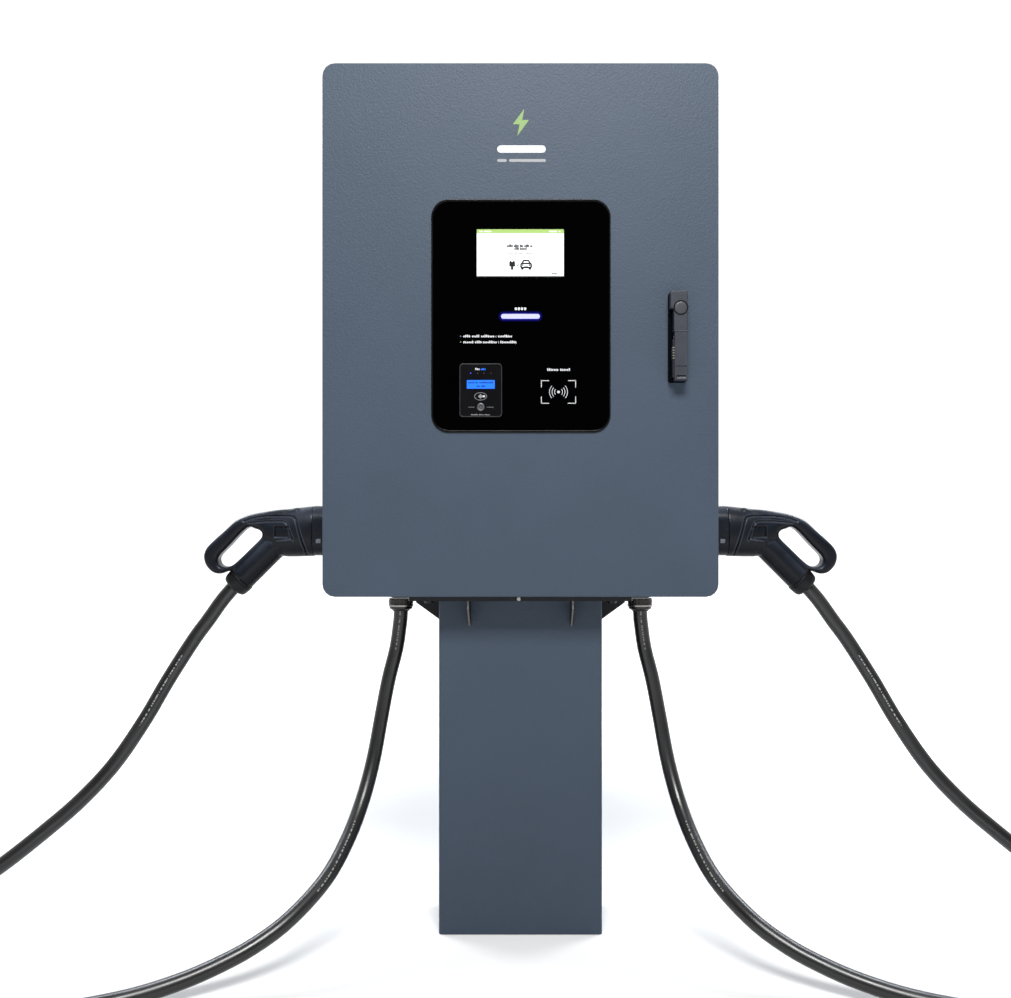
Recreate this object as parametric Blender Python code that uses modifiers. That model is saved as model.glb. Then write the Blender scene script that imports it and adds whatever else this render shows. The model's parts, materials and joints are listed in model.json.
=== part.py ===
"""Dual-outlet EV charging post: a steel cabinet on a folded post, with two plugs on cables.

Metres, +Z up. The origin is on the ground under the middle of the post, +X is the viewer's
right and the door faces -Y.
"""

import math

import bmesh
import bpy
from mathutils import Matrix, Vector

# Driving dimensions
CABINET_WIDTH = 0.695
CABINET_HEIGHT = 0.936
CABINET_BOTTOM = 0.622
CORNER_RADIUS = 0.022
SHEET = 0.002
DOOR_FRONT = -0.150
DOOR_BACK = -0.128
SHELL_FRONT = -0.125
SHELL_BACK = 0.150
LIP_FRONT = -0.140
LIP_INSET = 0.019
GAP = 0.0003

POST_WIDTH = 0.298
POST_DEPTH = 0.150
POST_SHEET = 0.003
POST_FLANGE = 0.022
TOP_PLATE = 0.008
BASE_PLATE = 0.010

CABLE_RADIUS = 0.0135
GLAND_X = 0.226
COIL_CENTRE = (1.10, -0.305)
COIL_MEAN_RADIUS = 0.149
TURNS_ACROSS = 2
TURNS_HIGH = 2

CABINET_MIDDLE = CABINET_BOTTOM + CABINET_HEIGHT / 2
HALF_WIDTH = CABINET_WIDTH / 2
POST_TOP = CABINET_BOTTOM - GAP - TOP_PLATE - GAP
HINGE_X = -HALF_WIDTH + 0.006
HINGE_Y = -0.137
HINGE_HEIGHTS = {"upper": 1.380, "lower": 0.800}
HANDLE_X = 0.2767
SPINDLE_Z = 1.128
LEVER_PIVOT = (-0.1700, 1.0741)
FAN_X = 0.140
FAN_Z = 1.400
GUN_AXIS_Z = 0.7338
GUN_REACH = 0.3886
SIDES = {"left": -1, "right": 1}


# Materials: colour (linear RGB), roughness, metallic
FINISHES = {
    "grey_powder_coat": ((0.105, 0.135, 0.180), 0.45, 0.0),
    "black_glass": ((0.004, 0.004, 0.005), 0.08, 0.0),
    "screen": ((0.800, 0.830, 0.850), 0.25, 0.0),
    "light_diffuser": ((0.550, 0.600, 1.000), 0.35, 0.0),
    "black_plastic": ((0.018, 0.019, 0.022), 0.45, 0.0),
    "dark_zamak": ((0.050, 0.052, 0.056), 0.50, 0.3),
    "rubber": ((0.020, 0.020, 0.021), 0.60, 0.0),
    "zinc_steel": ((0.450, 0.460, 0.470), 0.35, 1.0),
    "aluminium": ((0.600, 0.610, 0.620), 0.35, 1.0),
    "circuit_board": ((0.020, 0.120, 0.050), 0.50, 0.0),
    "orange_plastic": ((0.700, 0.180, 0.020), 0.45, 0.0),
}


def start_clean():
    for item in list(bpy.data.objects):
        bpy.data.objects.remove(item, do_unlink=True)


def new_collection(name):
    collection = bpy.data.collections.new(name)
    bpy.context.scene.collection.children.link(collection)
    return collection


def make_materials():
    materials = {}
    for name, (colour, roughness, metallic) in FINISHES.items():
        material = bpy.data.materials.new(name)
        material.use_nodes = True
        shader = material.node_tree.nodes["Principled BSDF"]
        shader.inputs["Base Color"].default_value = (*colour, 1.0)
        shader.inputs["Roughness"].default_value = roughness
        shader.inputs["Metallic"].default_value = metallic
        materials[name] = material
    return materials


start_clean()
PARTS = new_collection("ev_charging_post")
CUTTERS = new_collection("cutters_and_guides")
MATERIALS = make_materials()

# Outline planes: the turn that lays a drawing on each plane, and the plane's normal
PLANES = {
    "XY": (Matrix.Identity(4), Vector((0, 0, 1))),
    "XZ": (Matrix.Rotation(math.pi / 2, 4, "X"), Vector((0, 1, 0))),
    "YZ": (Matrix(((0, 0, 1, 0), (1, 0, 0, 0), (0, 1, 0, 0), (0, 0, 0, 1))), Vector((1, 0, 0))),
}


def finish_object(name, mesh, finish, matrix):
    """Links a mesh as a named part, or as a cutter if it has no finish."""
    item = bpy.data.objects.new(name, mesh)
    item.matrix_world = matrix
    if finish:
        PARTS.objects.link(item)
        mesh.materials.append(MATERIALS[finish])
    else:
        CUTTERS.objects.link(item)
        item.hide_render = True
        item.display_type = "WIRE"
    return item


def curve_to_mesh(curve_object):
    """The welded mesh of a curve object, which is then removed."""
    bpy.context.view_layer.update()
    graph = bpy.context.evaluated_depsgraph_get()
    mesh = bpy.data.meshes.new_from_object(curve_object.evaluated_get(graph))
    form = bmesh.new()
    form.from_mesh(mesh)
    bmesh.ops.remove_doubles(form, verts=form.verts, dist=1e-6)
    bmesh.ops.recalc_face_normals(form, faces=form.faces)
    form.to_mesh(mesh)
    form.free()
    mesh.materials.clear()
    bpy.data.objects.remove(curve_object, do_unlink=True)
    return mesh


def plate(name, outlines, plane, low, high, finish=None):
    """A flat sheet or a prism: outlines in a plane, run from low to high along its normal."""
    curve = bpy.data.curves.new(name, "CURVE")
    curve.dimensions = "2D"
    curve.fill_mode = "BOTH"
    curve.extrude = (high - low) / 2
    for outline in outlines:
        spline = curve.splines.new("POLY")
        spline.points.add(len(outline) - 1)
        for point, (across, along) in zip(spline.points, outline):
            point.co = (across, along, 0, 1)
        spline.use_cyclic_u = True
    drawing = bpy.data.objects.new(name, curve)
    CUTTERS.objects.link(drawing)
    turn, normal = PLANES[plane]
    matrix = Matrix.Translation(normal * (low + high) / 2) @ turn
    return finish_object(name, curve_to_mesh(drawing), finish, matrix)


def box(name, low, high, finish=None):
    low, high = Vector(low), Vector(high)
    form = bmesh.new()
    bmesh.ops.create_cube(form, size=1.0)
    bmesh.ops.scale(form, vec=high - low, verts=form.verts)
    mesh = bpy.data.meshes.new(name)
    form.to_mesh(mesh)
    form.free()
    return finish_object(name, mesh, finish, Matrix.Translation((low + high) / 2))


def rod(name, start, end, radius, finish=None, end_radius=None, sides=24):
    """A cylinder or a cone from start to end."""
    start, end = Vector(start), Vector(end)
    form = bmesh.new()
    bmesh.ops.create_cone(
        form,
        cap_ends=True,
        segments=sides,
        radius1=radius,
        radius2=radius if end_radius is None else end_radius,
        depth=(end - start).length,
    )
    mesh = bpy.data.meshes.new(name)
    form.to_mesh(mesh)
    form.free()
    mesh.shade_smooth()
    mesh.set_sharp_from_angle(angle=math.radians(35))
    turn = (end - start).to_track_quat("Z", "Y").to_matrix().to_4x4()
    return finish_object(name, mesh, finish, Matrix.Translation((start + end) / 2) @ turn)


def combine(target, operation, *tools):
    """Adds an exact Boolean for each tool: UNION or DIFFERENCE."""
    for tool in tools:
        modifier = target.modifiers.new(operation.title(), "BOOLEAN")
        modifier.operation = operation
        modifier.solver = "EXACT"
        modifier.object = tool
    return target


def joint(name, place, *pieces):
    """An empty on a joint's axis, the parent of the pieces that move about it."""
    empty = bpy.data.objects.new(name, None)
    empty.location = place
    PARTS.objects.link(empty)
    bpy.context.view_layer.update()
    for piece in pieces:
        piece.parent = empty
        piece.matrix_parent_inverse = empty.matrix_world.inverted()
    return empty


# Outlines


def rounded(centre, width, height, radius, steps=4):
    points = []
    for corner, (right, up) in enumerate(((1, 1), (-1, 1), (-1, -1), (1, -1))):
        across = centre[0] + right * (width / 2 - radius)
        along = centre[1] + up * (height / 2 - radius)
        for step in range(steps + 1):
            angle = math.pi / 2 * (corner + step / steps)
            points.append((across + radius * math.cos(angle), along + radius * math.sin(angle)))
    return points


def circle(centre, radius, steps=24):
    turns = [2 * math.pi * step / steps for step in range(steps)]
    return [(centre[0] + radius * math.cos(t), centre[1] + radius * math.sin(t)) for t in turns]


def cabinet_outline(inset):
    """The cabinet's front outline, moved in by inset."""
    return rounded(
        (0, CABINET_MIDDLE),
        CABINET_WIDTH - 2 * inset,
        CABINET_HEIGHT - 2 * inset,
        max(CORNER_RADIUS - inset, 0.004),
    )


# The post


def make_base_plate():
    inside = POST_SHEET + GAP
    width = POST_WIDTH - 2 * inside
    depth = POST_DEPTH - 2 * inside
    holes = [circle((x, y), 0.007, 12) for x in (-0.115, 0.115) for y in (-0.045, 0.045)]
    way = rounded((0, 0), 0.110, 0.070, 0.020)
    outline = rounded((0, 0), width, depth, 0.004, 2)
    plate("base_plate", [outline, way, *holes], "XY", 0, BASE_PLATE, "zinc_steel")


def channel_outline(width, depth, sheet, flange, radius):
    """A folded U-channel with returned edges, open at the back, as one closed outline."""
    outline = []
    for inset, sign in ((0, 1), (sheet, -1)):
        half, front, back = width / 2 - inset, -depth / 2 + inset, depth / 2 - inset
        bend = radius - inset
        wall = [(-half + flange - inset, back), (-half, back)]
        for step in range(4):
            angle = math.pi + math.pi / 2 * step / 3
            wall.append((-half + bend + bend * math.cos(angle), front + bend + bend * math.sin(angle)))
        wall += [(-across, along) for across, along in reversed(wall)]
        outline += wall[::sign]
    return outline


def make_post():
    outline = channel_outline(POST_WIDTH, POST_DEPTH, POST_SHEET, POST_FLANGE, 0.006)
    plate("post_column", [outline], "XY", 0, POST_TOP, "grey_powder_coat")
    cover = rounded((0, POST_TOP / 2), POST_WIDTH - 0.028, POST_TOP - 0.040, 0.006, 2)
    low = POST_DEPTH / 2 + GAP
    plate("post_rear_cover", [cover], "XZ", low, low + 0.002, "grey_powder_coat")
    top = [rounded((0, 0.005), 0.397, 0.290, 0.008, 2), rounded((0, 0), 0.110, 0.070, 0.020)]
    top += [circle((x, y), 0.0055, 12) for x in (-0.165, 0.165) for y in (-0.095, 0.115)]
    plate("post_top_plate", top, "XY", POST_TOP + GAP, POST_TOP + GAP + TOP_PLATE, "grey_powder_coat")


def make_gussets():
    front = -POST_DEPTH / 2 - GAP
    under = POST_TOP
    shape = [(front, under), (front, under - 0.050), (front - 0.054, under - 0.014), (front - 0.054, under)]
    wall = POST_WIDTH / 2 + GAP
    for side, sign in SIDES.items():
        middle = sign * 0.093
        plate(f"gusset_front_{side}", [shape], "YZ", middle - 0.0025, middle + 0.0025, "grey_powder_coat")
        wing = [(wall, under), (wall, under - 0.050), (0.1975, under - 0.015), (0.1975, under)]
        wing = [(sign * across, along) for across, along in wing]
        plate(f"gusset_side_{side}", [wing], "XZ", -0.0025, 0.0025, "grey_powder_coat")


# The cabinet


def make_cabinet_shell():
    shell = plate("cabinet_shell", [cabinet_outline(0)], "XZ", SHELL_FRONT, SHELL_BACK, "grey_powder_coat")
    lip = plate("lip_block", [cabinet_outline(LIP_INSET)], "XZ", LIP_FRONT, SHELL_FRONT + 0.001)
    cavity = plate("cavity", [cabinet_outline(SHEET)], "XZ", SHELL_FRONT + SHEET, SHELL_BACK - SHEET)
    mouth = plate("mouth", [cabinet_outline(LIP_INSET + SHEET)], "XZ", LIP_FRONT - 0.001, SHELL_FRONT + 0.004)
    fan_holes = [circle((x, FAN_Z), 0.056) for x in (-FAN_X, FAN_X)]
    slots = [rounded((0, 0.760 + 0.018 * row), 0.300, 0.007, 0.003, 1) for row in range(6)]
    back = plate("rear_holes", fan_holes + slots, "XZ", SHELL_BACK - 0.010, SHELL_BACK + 0.010)
    floor_holes = [circle((x, 0), 0.0205) for x in (-GLAND_X, GLAND_X)]
    floor_holes += [circle((x, y), 0.0055, 12) for x in (-0.165, 0.165) for y in (-0.095, 0.115)]
    floor_holes.append(rounded((0, 0), 0.110, 0.070, 0.020))
    floor = plate("floor_holes", floor_holes, "XY", CABINET_BOTTOM - 0.010, CABINET_BOTTOM + 0.010)
    sockets = [rounded((0, GUN_AXIS_Z), 0.0635, 0.0955, 0.030)]
    side_holes = plate("side_holes", sockets, "YZ", -HALF_WIDTH - 0.010, HALF_WIDTH + 0.010)
    combine(shell, "UNION", lip)
    combine(shell, "DIFFERENCE", cavity, mouth, back, floor, side_holes)


def make_rear_cover():
    low = SHELL_BACK + GAP
    outline = rounded((0, FAN_Z), 0.460, 0.200, 0.010, 2)
    inner = rounded((0, FAN_Z), 0.456, 0.196, 0.008, 2)
    cover = plate("rear_vent_cover", [outline], "XZ", low, low + 0.030, "grey_powder_coat")
    hollow = plate("vent_hollow", [inner], "XZ", low - 0.005, low + 0.028)
    rows = [FAN_Z - 0.060 + 0.020 * row for row in range(7)]
    slots = [rounded((x, z), 0.130, 0.008, 0.003, 1) for z in rows for x in (-FAN_X, FAN_X)]
    combine(cover, "DIFFERENCE", hollow, plate("vent_slots", slots, "XZ", low + 0.020, low + 0.035))


def make_fans():
    back = SHELL_BACK - SHEET - GAP
    for side, sign in SIDES.items():
        centre = (sign * FAN_X, FAN_Z)
        outlines = [rounded(centre, 0.120, 0.120, 0.008, 2), circle(centre, 0.0560)]
        frame = plate(f"fan_frame_{side}", outlines, "XZ", back - 0.025, back, "black_plastic")
        arms = []
        for low, high in (((-0.058, -0.004), (0.058, 0.004)), ((-0.004, -0.058), (0.004, 0.058))):
            start = (centre[0] + low[0], back - 0.003, centre[1] + low[1])
            end = (centre[0] + high[0], back, centre[1] + high[1])
            arms.append(box(f"fan_arm_{side}", start, end))
        combine(frame, "UNION", *arms)
        blades = []
        for blade in range(7):
            for offset, radius in ((0.00, 0.020), (0.18, 0.053), (0.62, 0.053), (0.60, 0.020)):
                angle = 2 * math.pi * blade / 7 + offset
                blades.append((centre[0] + radius * math.cos(angle), centre[1] + radius * math.sin(angle)))
        rotor = plate(f"fan_rotor_{side}", [blades], "XZ", back - 0.023, back - 0.005, "black_plastic")
        joint(f"fan_{side}_axis", (centre[0], back - 0.014, centre[1]), rotor)


def make_electrics():
    back = 0.112
    outline = rounded((0, 0.900), 0.600, 0.460, 0.004, 2)
    plate("mounting_plate", [outline], "XZ", back, back + SHEET, "zinc_steel")
    front = back - GAP
    for side, sign in SIDES.items():
        centre = sign * 0.156
        outline = rounded((centre, 1.340), 0.290, 0.400, 0.006, 2)
        module = plate(f"power_module_{side}", [outline], "XZ", -0.030, 0.090, "aluminium")
        rows = [rounded((centre, 1.180 + 0.040 * row), 0.240, 0.020, 0.005, 1) for row in range(9)]
        combine(module, "DIFFERENCE", plate(f"module_slots_{side}", rows, "XZ", -0.035, 0.095))
    breaker = box("main_breaker", (-0.265, front - 0.085, 0.900), (-0.145, front, 1.060), "black_plastic")
    pocket = box("lever_pocket", (-0.217, front - 0.090, 0.945), (-0.193, front - 0.055, 1.015))
    combine(breaker, "DIFFERENCE", pocket)
    pivot = (-0.205, front - 0.0625, 0.980)
    lever = rod("breaker_lever", (-0.212, *pivot[1:]), (-0.198, *pivot[1:]), 0.006, "orange_plastic", sides=16)
    toggle = box("toggle", (-0.210, front - 0.103, 0.976), (-0.200, front - 0.062, 0.984))
    combine(lever, "UNION", toggle)
    joint("breaker_lever_axis", pivot, lever)
    contactor = box("contactor", (-0.100, front - 0.090, 0.920), (0.010, front, 1.050), "black_plastic")
    bevel = contactor.modifiers.new("Bevel", "BEVEL")
    bevel.width = 0.003
    bevel.segments = 1
    board = box("control_board", (0.060, front - 0.030, 0.760), (0.260, front - 0.0284, 1.060), "circuit_board")
    stand = box("board_stand", (0.075, front - 0.029, 0.790), (0.245, front, 1.040))
    combine(board, "UNION", stand)


# The door, its fascia and its lock


DISPLAY_CENTRE = (-0.001, 1.224)
READER_CENTRE = (-0.0695, 0.984)
READER_BUTTON = (-0.0695, 0.955)
FASCIA_CENTRE = (0.001, 1.1145)
FASCIA_SIZE = (0.310, 0.403)
FASCIA_FRONT = -0.1518
FASCIA_BACK = -0.1480


def make_door():
    door = plate("door_panel", [cabinet_outline(0)], "XZ", DOOR_FRONT, DOOR_BACK, "grey_powder_coat")
    pan = plate("door_hollow", [cabinet_outline(SHEET)], "XZ", DOOR_FRONT + SHEET, DOOR_BACK + 0.001)
    width, height = (size + 2 * GAP for size in FASCIA_SIZE)
    holes = [rounded(FASCIA_CENTRE, width, height, 0.0293, 6), circle((HANDLE_X, SPINDLE_Z), 0.0065, 16)]
    window = plate("door_holes", holes, "XZ", DOOR_FRONT - 0.001, DOOR_FRONT + SHEET + 0.001)
    combine(door, "DIFFERENCE", pan, window)
    for height in HINGE_HEIGHTS.values():
        low = (-HALF_WIDTH - 0.001, -0.1435, height - 0.0035)
        high = (-HALF_WIDTH + 0.0025, DOOR_BACK + 0.001, height + 0.0035)
        combine(door, "DIFFERENCE", box("hinge_notch", low, high))
    outlines = [cabinet_outline(0.015), cabinet_outline(0.025)]
    gasket = plate("door_gasket", outlines, "XZ", DOOR_FRONT + SHEET + GAP, LIP_FRONT - GAP, "rubber")
    return [door, gasket]


def make_fascia():
    screen = rounded(DISPLAY_CENTRE, 0.1545, 0.0845, 0.002, 2)
    reader = rounded(READER_CENTRE, 0.0757, 0.0947, 0.0063, 3)
    light = rounded((0, 1.1135), 0.0686, 0.0096, 0.0047)
    outline = rounded(FASCIA_CENTRE, *FASCIA_SIZE, 0.029, 6)
    glass = plate("front_glass", [outline, screen, light, reader], "XZ", FASCIA_FRONT, FASCIA_BACK, "black_glass")
    display = rounded(DISPLAY_CENTRE, 0.1539, 0.0839, 0.002, 2)
    display = plate("touchscreen", [display], "XZ", FASCIA_FRONT + 0.0004, -0.138, "screen")
    bar = rounded((0, 1.1135), 0.068, 0.009, 0.0045)
    bar = plate("light_bar", [bar], "XZ", FASCIA_FRONT + 0.0002, -0.140, "light_diffuser")
    body = rounded(READER_CENTRE, 0.075, 0.094, 0.006, 3)
    body = plate("payment_reader", [body], "XZ", -0.1530, -0.128, "black_plastic")
    recess = rod("button_well", (READER_BUTTON[0], -0.154, READER_BUTTON[1]),
                 (READER_BUTTON[0], -0.1465, READER_BUTTON[1]), 0.0074)
    combine(body, "DIFFERENCE", recess)
    button = rod("reader_button", (READER_BUTTON[0], -0.1540, READER_BUTTON[1]),
                 (READER_BUTTON[0], -0.1480, READER_BUTTON[1]), 0.0070, "aluminium")
    joint("reader_button_axis", (READER_BUTTON[0], -0.151, READER_BUTTON[1]), button)
    flange = FASCIA_BACK + GAP
    cover = plate("display_back_cover", [rounded(FASCIA_CENTRE, 0.336, 0.429, 0.030, 4)], "XZ",
                  flange, flange + SHEET, "zinc_steel")
    tub = plate("cover_tub", [rounded(FASCIA_CENTRE, 0.292, 0.385, 0.012, 2)], "XZ", flange + 0.001, -0.095)
    hollow = plate("cover_hollow", [rounded(FASCIA_CENTRE, 0.288, 0.381, 0.010, 2)], "XZ", flange - 0.001, -0.097)
    combine(cover, "UNION", tub)
    combine(cover, "DIFFERENCE", hollow)
    return [glass, display, bar, body, cover]


def make_hinges():
    pins = []
    for place, height in HINGE_HEIGHTS.items():
        ring = [circle((HINGE_X, HINGE_Y), 0.005), circle((HINGE_X, HINGE_Y), 0.0029, 16)]
        bracket = plate(f"hinge_bracket_{place}", ring, "XY", height - 0.002, height + 0.002, "zinc_steel")
        lip = -HALF_WIDTH + LIP_INSET - GAP
        tongue = box("hinge_tongue", (HINGE_X + 0.0035, -0.1393, height - 0.002), (lip - 0.0005, -0.1347, height + 0.002))
        foot = box("hinge_foot", (lip - 0.0015, -0.1393, height - 0.015), (lip, SHELL_FRONT - GAP, height + 0.015))
        combine(bracket, "UNION", tongue, foot)
        pin = rod(f"hinge_pin_{place}", (HINGE_X, HINGE_Y, height - 0.025), (HINGE_X, HINGE_Y, height + 0.025),
                  0.0025, "zinc_steel", sides=16)
        front = DOOR_FRONT + SHEET + GAP
        for low, high in ((-0.025, -0.003), (0.003, 0.025)):
            lug = box("hinge_lug", (HINGE_X - 0.003, front, height + low), (HINGE_X + 0.003, HINGE_Y + 0.001, height + high))
            combine(pin, "UNION", lug)
        pins.append(pin)
    return pins


def make_handle():
    """A swing handle: it is lifted at its foot, then turned about the spindle."""
    top = DOOR_FRONT - GAP - 0.010
    face = -0.1795
    base = [rounded((0.276, 1.0755), 0.0355, 0.157, 0.005, 2), circle((HANDLE_X, SPINDLE_Z), 0.0060, 16)]
    base = plate("handle_base", base, "XZ", top, DOOR_FRONT - GAP, "dark_zamak")
    half = 0.0117
    rear = top - 0.0005
    split = LEVER_PIVOT[1] + 0.0097
    head = rounded((HANDLE_X, (1.153 + split) / 2), 2 * half, 1.153 - split, 0.003, 2)
    hub = plate("handle_hub", [head], "XZ", face, rear, "dark_zamak")
    spindle = rod("spindle", (HANDLE_X, rear - 0.002, SPINDLE_Z), (HANDLE_X, -0.1315, SPINDLE_Z), 0.0050, sides=16)
    neck = box("neck", (HANDLE_X - 0.0045, LEVER_PIVOT[0] - 0.0022, LEVER_PIVOT[1]),
               (HANDLE_X + 0.0045, LEVER_PIVOT[0] + 0.0050, split + 0.004))
    eye = rod("eye", (HANDLE_X - 0.0045, *LEVER_PIVOT), (HANDLE_X + 0.0045, *LEVER_PIVOT), 0.0056, sides=16)
    well = rod("lock_well", (HANDLE_X, face - 0.001, SPINDLE_Z), (HANDLE_X, -0.1728, SPINDLE_Z), 0.0112, sides=32)
    hole = rod("pin_hole", (HANDLE_X - 0.020, *LEVER_PIVOT), (HANDLE_X + 0.020, *LEVER_PIVOT), 0.0023, sides=16)
    combine(hub, "UNION", spindle, neck, eye)
    combine(hub, "DIFFERENCE", well, hole)
    pin = rod("lever_pin", (HANDLE_X - half + 0.0005, *LEVER_PIVOT), (HANDLE_X + half - 0.0005, *LEVER_PIVOT),
              0.0020, "zinc_steel", sides=16)
    lock = rod("lock_button", (HANDLE_X, face - 0.0008, SPINDLE_Z), (HANDLE_X, -0.1755, SPINDLE_Z), 0.0108,
               "dark_zamak", sides=32)
    round_end = 0.0091
    side = []
    for step in range(9):
        angle = math.pi * step / 8
        side.append((LEVER_PIVOT[0] + round_end * math.cos(angle), LEVER_PIVOT[1] + round_end * math.sin(angle)))
    side += [(face + 0.0002, 1.0045), (face + 0.0030, 1.0020), (LEVER_PIVOT[0] + round_end, 1.0020)]
    lever = plate("handle_lever", [side], "YZ", HANDLE_X - half, HANDLE_X + half, "dark_zamak")
    slot = box("lever_slot", (HANDLE_X - 0.0049, LEVER_PIVOT[0] - 0.0063, LEVER_PIVOT[1] - 0.0075),
               (HANDLE_X + 0.0049, LEVER_PIVOT[0] + 0.020, LEVER_PIVOT[1] + 0.015))
    combine(lever, "DIFFERENCE", slot, hole)
    lobe = [(0.014, -0.020), (0.014, 0.020), (-0.014, 0.020), (-0.014, -0.020)]
    lobe = [(HANDLE_X + across, SPINDLE_Z + along) for across, along in lobe]
    cam = plate("latch_cam", [lobe, circle((HANDLE_X, SPINDLE_Z), 0.0054, 16)], "XZ", -0.1375, -0.1345, "zinc_steel")
    lever_axis = joint("handle_lift_axis", (HANDLE_X, *LEVER_PIVOT), lever)
    lock_axis = joint("lock_button_axis", (HANDLE_X, face, SPINDLE_Z), lock)
    swing = joint("handle_swing_axis", (HANDLE_X, face, SPINDLE_Z), hub, pin, cam, lever_axis, lock_axis)
    return [base, swing]


def make_rods():
    """Flat rods that the handle draws in from behind the frame at the top and the bottom."""
    inside = LIP_INSET + SHEET + 0.0015
    top = CABINET_BOTTOM + CABINET_HEIGHT - inside
    spans = {"upper_rod": (1.150, top), "lower_rod": (CABINET_BOTTOM + inside, 1.106)}
    pieces = []
    for name, (low, high) in spans.items():
        bar = box(name, (HANDLE_X - 0.008, -0.1340, low), (HANDLE_X + 0.008, -0.1310, high), "zinc_steel")
        pieces.append(joint(f"{name}_axis", (HANDLE_X, -0.1325, low), bar))
    return pieces


# Plug holsters, plugs and cables


def make_holster(side, sign):
    wall = HALF_WIDTH + GAP
    face = wall + 0.012
    low, high = sorted((sign * wall, sign * face))
    holster = plate(f"holster_{side}", [rounded((0, GUN_AXIS_Z), 0.100, 0.135, 0.014)], "YZ", low, high, "black_plastic")
    low, high = sorted((sign * 0.3230, sign * (wall + 0.002)))
    cup = plate("holster_cup", [rounded((0, GUN_AXIS_Z), 0.0625, 0.0945, 0.0295)], "YZ", low, high)
    low, high = sorted((sign * 0.3262, sign * (face + 0.001)))
    socket = plate("holster_socket", [rounded((0, GUN_AXIS_Z), 0.0565, 0.0885, 0.0265)], "YZ", low, high)
    combine(holster, "UNION", cup)
    combine(holster, "DIFFERENCE", socket)


# The plug's outlines in millimetres: distance out from the middle plane, height above ground
GUN_OUTLINE = [
    (388.9, 780.6), (482, 770.4), (514, 762.8), (531, 756.8), (584.8, 706.2), (595.8, 687.7), (595.0, 676.0),
    (589.9, 665.8), (574.7, 653.3), (562.0, 656.0), (553.0, 659.0), (544.0, 663.2), (536.0, 661.0), (507.0, 627.7),
    (452.0, 684.4), (388.9, 685.8),
]
GUN_LOOP = [
    (513.9, 739.2), (495.4, 736.6), (487.6, 732.6), (486.1, 726.5), (490.3, 718.1), (525.8, 683.0), (547.7, 667.8),
    (559.5, 666.5), (567.5, 674.2), (567.0, 684.3),
]
GUN_BARREL = [(388.9, 780.4), (474, 770.0), (458, 684.6), (388.9, 686.0)]
GRIP_RADIUS = 0.0252
GRIP_ROOT = (480.5, 690.6)
GRIP_SEAM = (526.0, 644.2)
GRIP_SHOULDER = (533.7, 636.3)
GRIP_END = (542.8, 627.1)


def on_side(points, sign):
    return [(sign * across / 1000, height / 1000) for across, height in points]


def gun_point(point, sign):
    (across, height), = on_side([point], sign)
    return Vector((across, 0, height))


def make_gun(side, sign):
    outlines = [on_side(GUN_OUTLINE, sign), on_side(GUN_LOOP, sign)]
    body = plate(f"connector_body_{side}", outlines, "XZ", -0.019, 0.019, "black_plastic")
    barrel = plate("gun_barrel", [on_side(GUN_BARREL, sign)], "XZ", -0.031, 0.031)
    seam, end = gun_point(GRIP_SEAM, sign), gun_point(GRIP_END, sign)
    grip = rod("gun_grip", gun_point(GRIP_ROOT, sign), seam, GRIP_RADIUS, sides=20)
    combine(body, "UNION", barrel, grip)
    low, high = sorted((sign * 0.3610, sign * GUN_REACH))
    nose = plate(f"connector_nose_{side}", [rounded((0, GUN_AXIS_Z), 0.061, 0.0935, 0.027)], "YZ", low, high,
                 "black_plastic")
    low, high = sorted((sign * 0.3280, sign * 0.3620))
    combine(nose, "UNION", plate("nose_tip", [rounded((0, GUN_AXIS_Z), 0.053, 0.085, 0.025)], "YZ", low, high))
    shoulder = gun_point(GRIP_SHOULDER, sign)
    start = seam + (end - seam).normalized() * GAP
    collar = rod(f"connector_collar_{side}", start, shoulder, GRIP_RADIUS, "rubber", sides=20)
    combine(collar, "UNION", rod("collar_taper", shoulder, end, GRIP_RADIUS, end_radius=0.016, sides=20))
    joint(f"gun_{side}_axis", (sign * 0.3600, 0, GUN_AXIS_Z), body, nose, collar)


def make_gland(side, sign):
    x = sign * GLAND_X
    under = CABINET_BOTTOM - GAP
    body = rod(f"gland_body_{side}", (x, 0, under - 0.015), (x, 0, under), 0.0250, "zinc_steel", sides=6)
    stem = rod("gland_stem", (x, 0, under - 0.001), (x, 0, under + 0.016), 0.0200)
    combine(body, "UNION", stem)
    rod(f"gland_nut_{side}", (x, 0, under - 0.0365), (x, 0, under - 0.015 - GAP), 0.0185, "zinc_steel",
        end_radius=0.0235)


# The cable's route on the left, from its gland to the coil, and from the coil to the plug
DROP_ROUTE = [
    (0.226, 0.0, 0.5849), (0.229, 0.0, 0.550), (0.235, 0.0, 0.510), (0.249, -0.005, 0.453), (0.262, -0.016, 0.380),
    (0.274, -0.032, 0.308), (0.289, -0.064, 0.243), (0.308, -0.118, 0.187), (0.336, -0.182, 0.138),
    (0.384, -0.246, 0.095), (0.434, -0.283, 0.066), (0.485, -0.310, 0.046), (0.540, -0.334, 0.030),
    (0.610, -0.362, 0.018), (0.700, -0.396, 0.0139), (0.800, -0.430, 0.0139), (0.900, -0.455, 0.0139),
    (1.000, -0.4665, 0.0139),
]
RISE_ROUTE = [
    (1.035, -0.150, 0.0750), (0.975, -0.144, 0.1080), (0.915, -0.134, 0.1480), (0.846, -0.118, 0.2030),
    (0.790, -0.099, 0.2530), (0.738, -0.077, 0.3130), (0.692, -0.054, 0.387), (0.656, -0.032, 0.457),
    (0.613, -0.016, 0.530), (0.5875, -0.011, 0.566), (0.5640, -0.004, 0.6015), (0.5431, 0.0, 0.6268),
]


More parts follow.
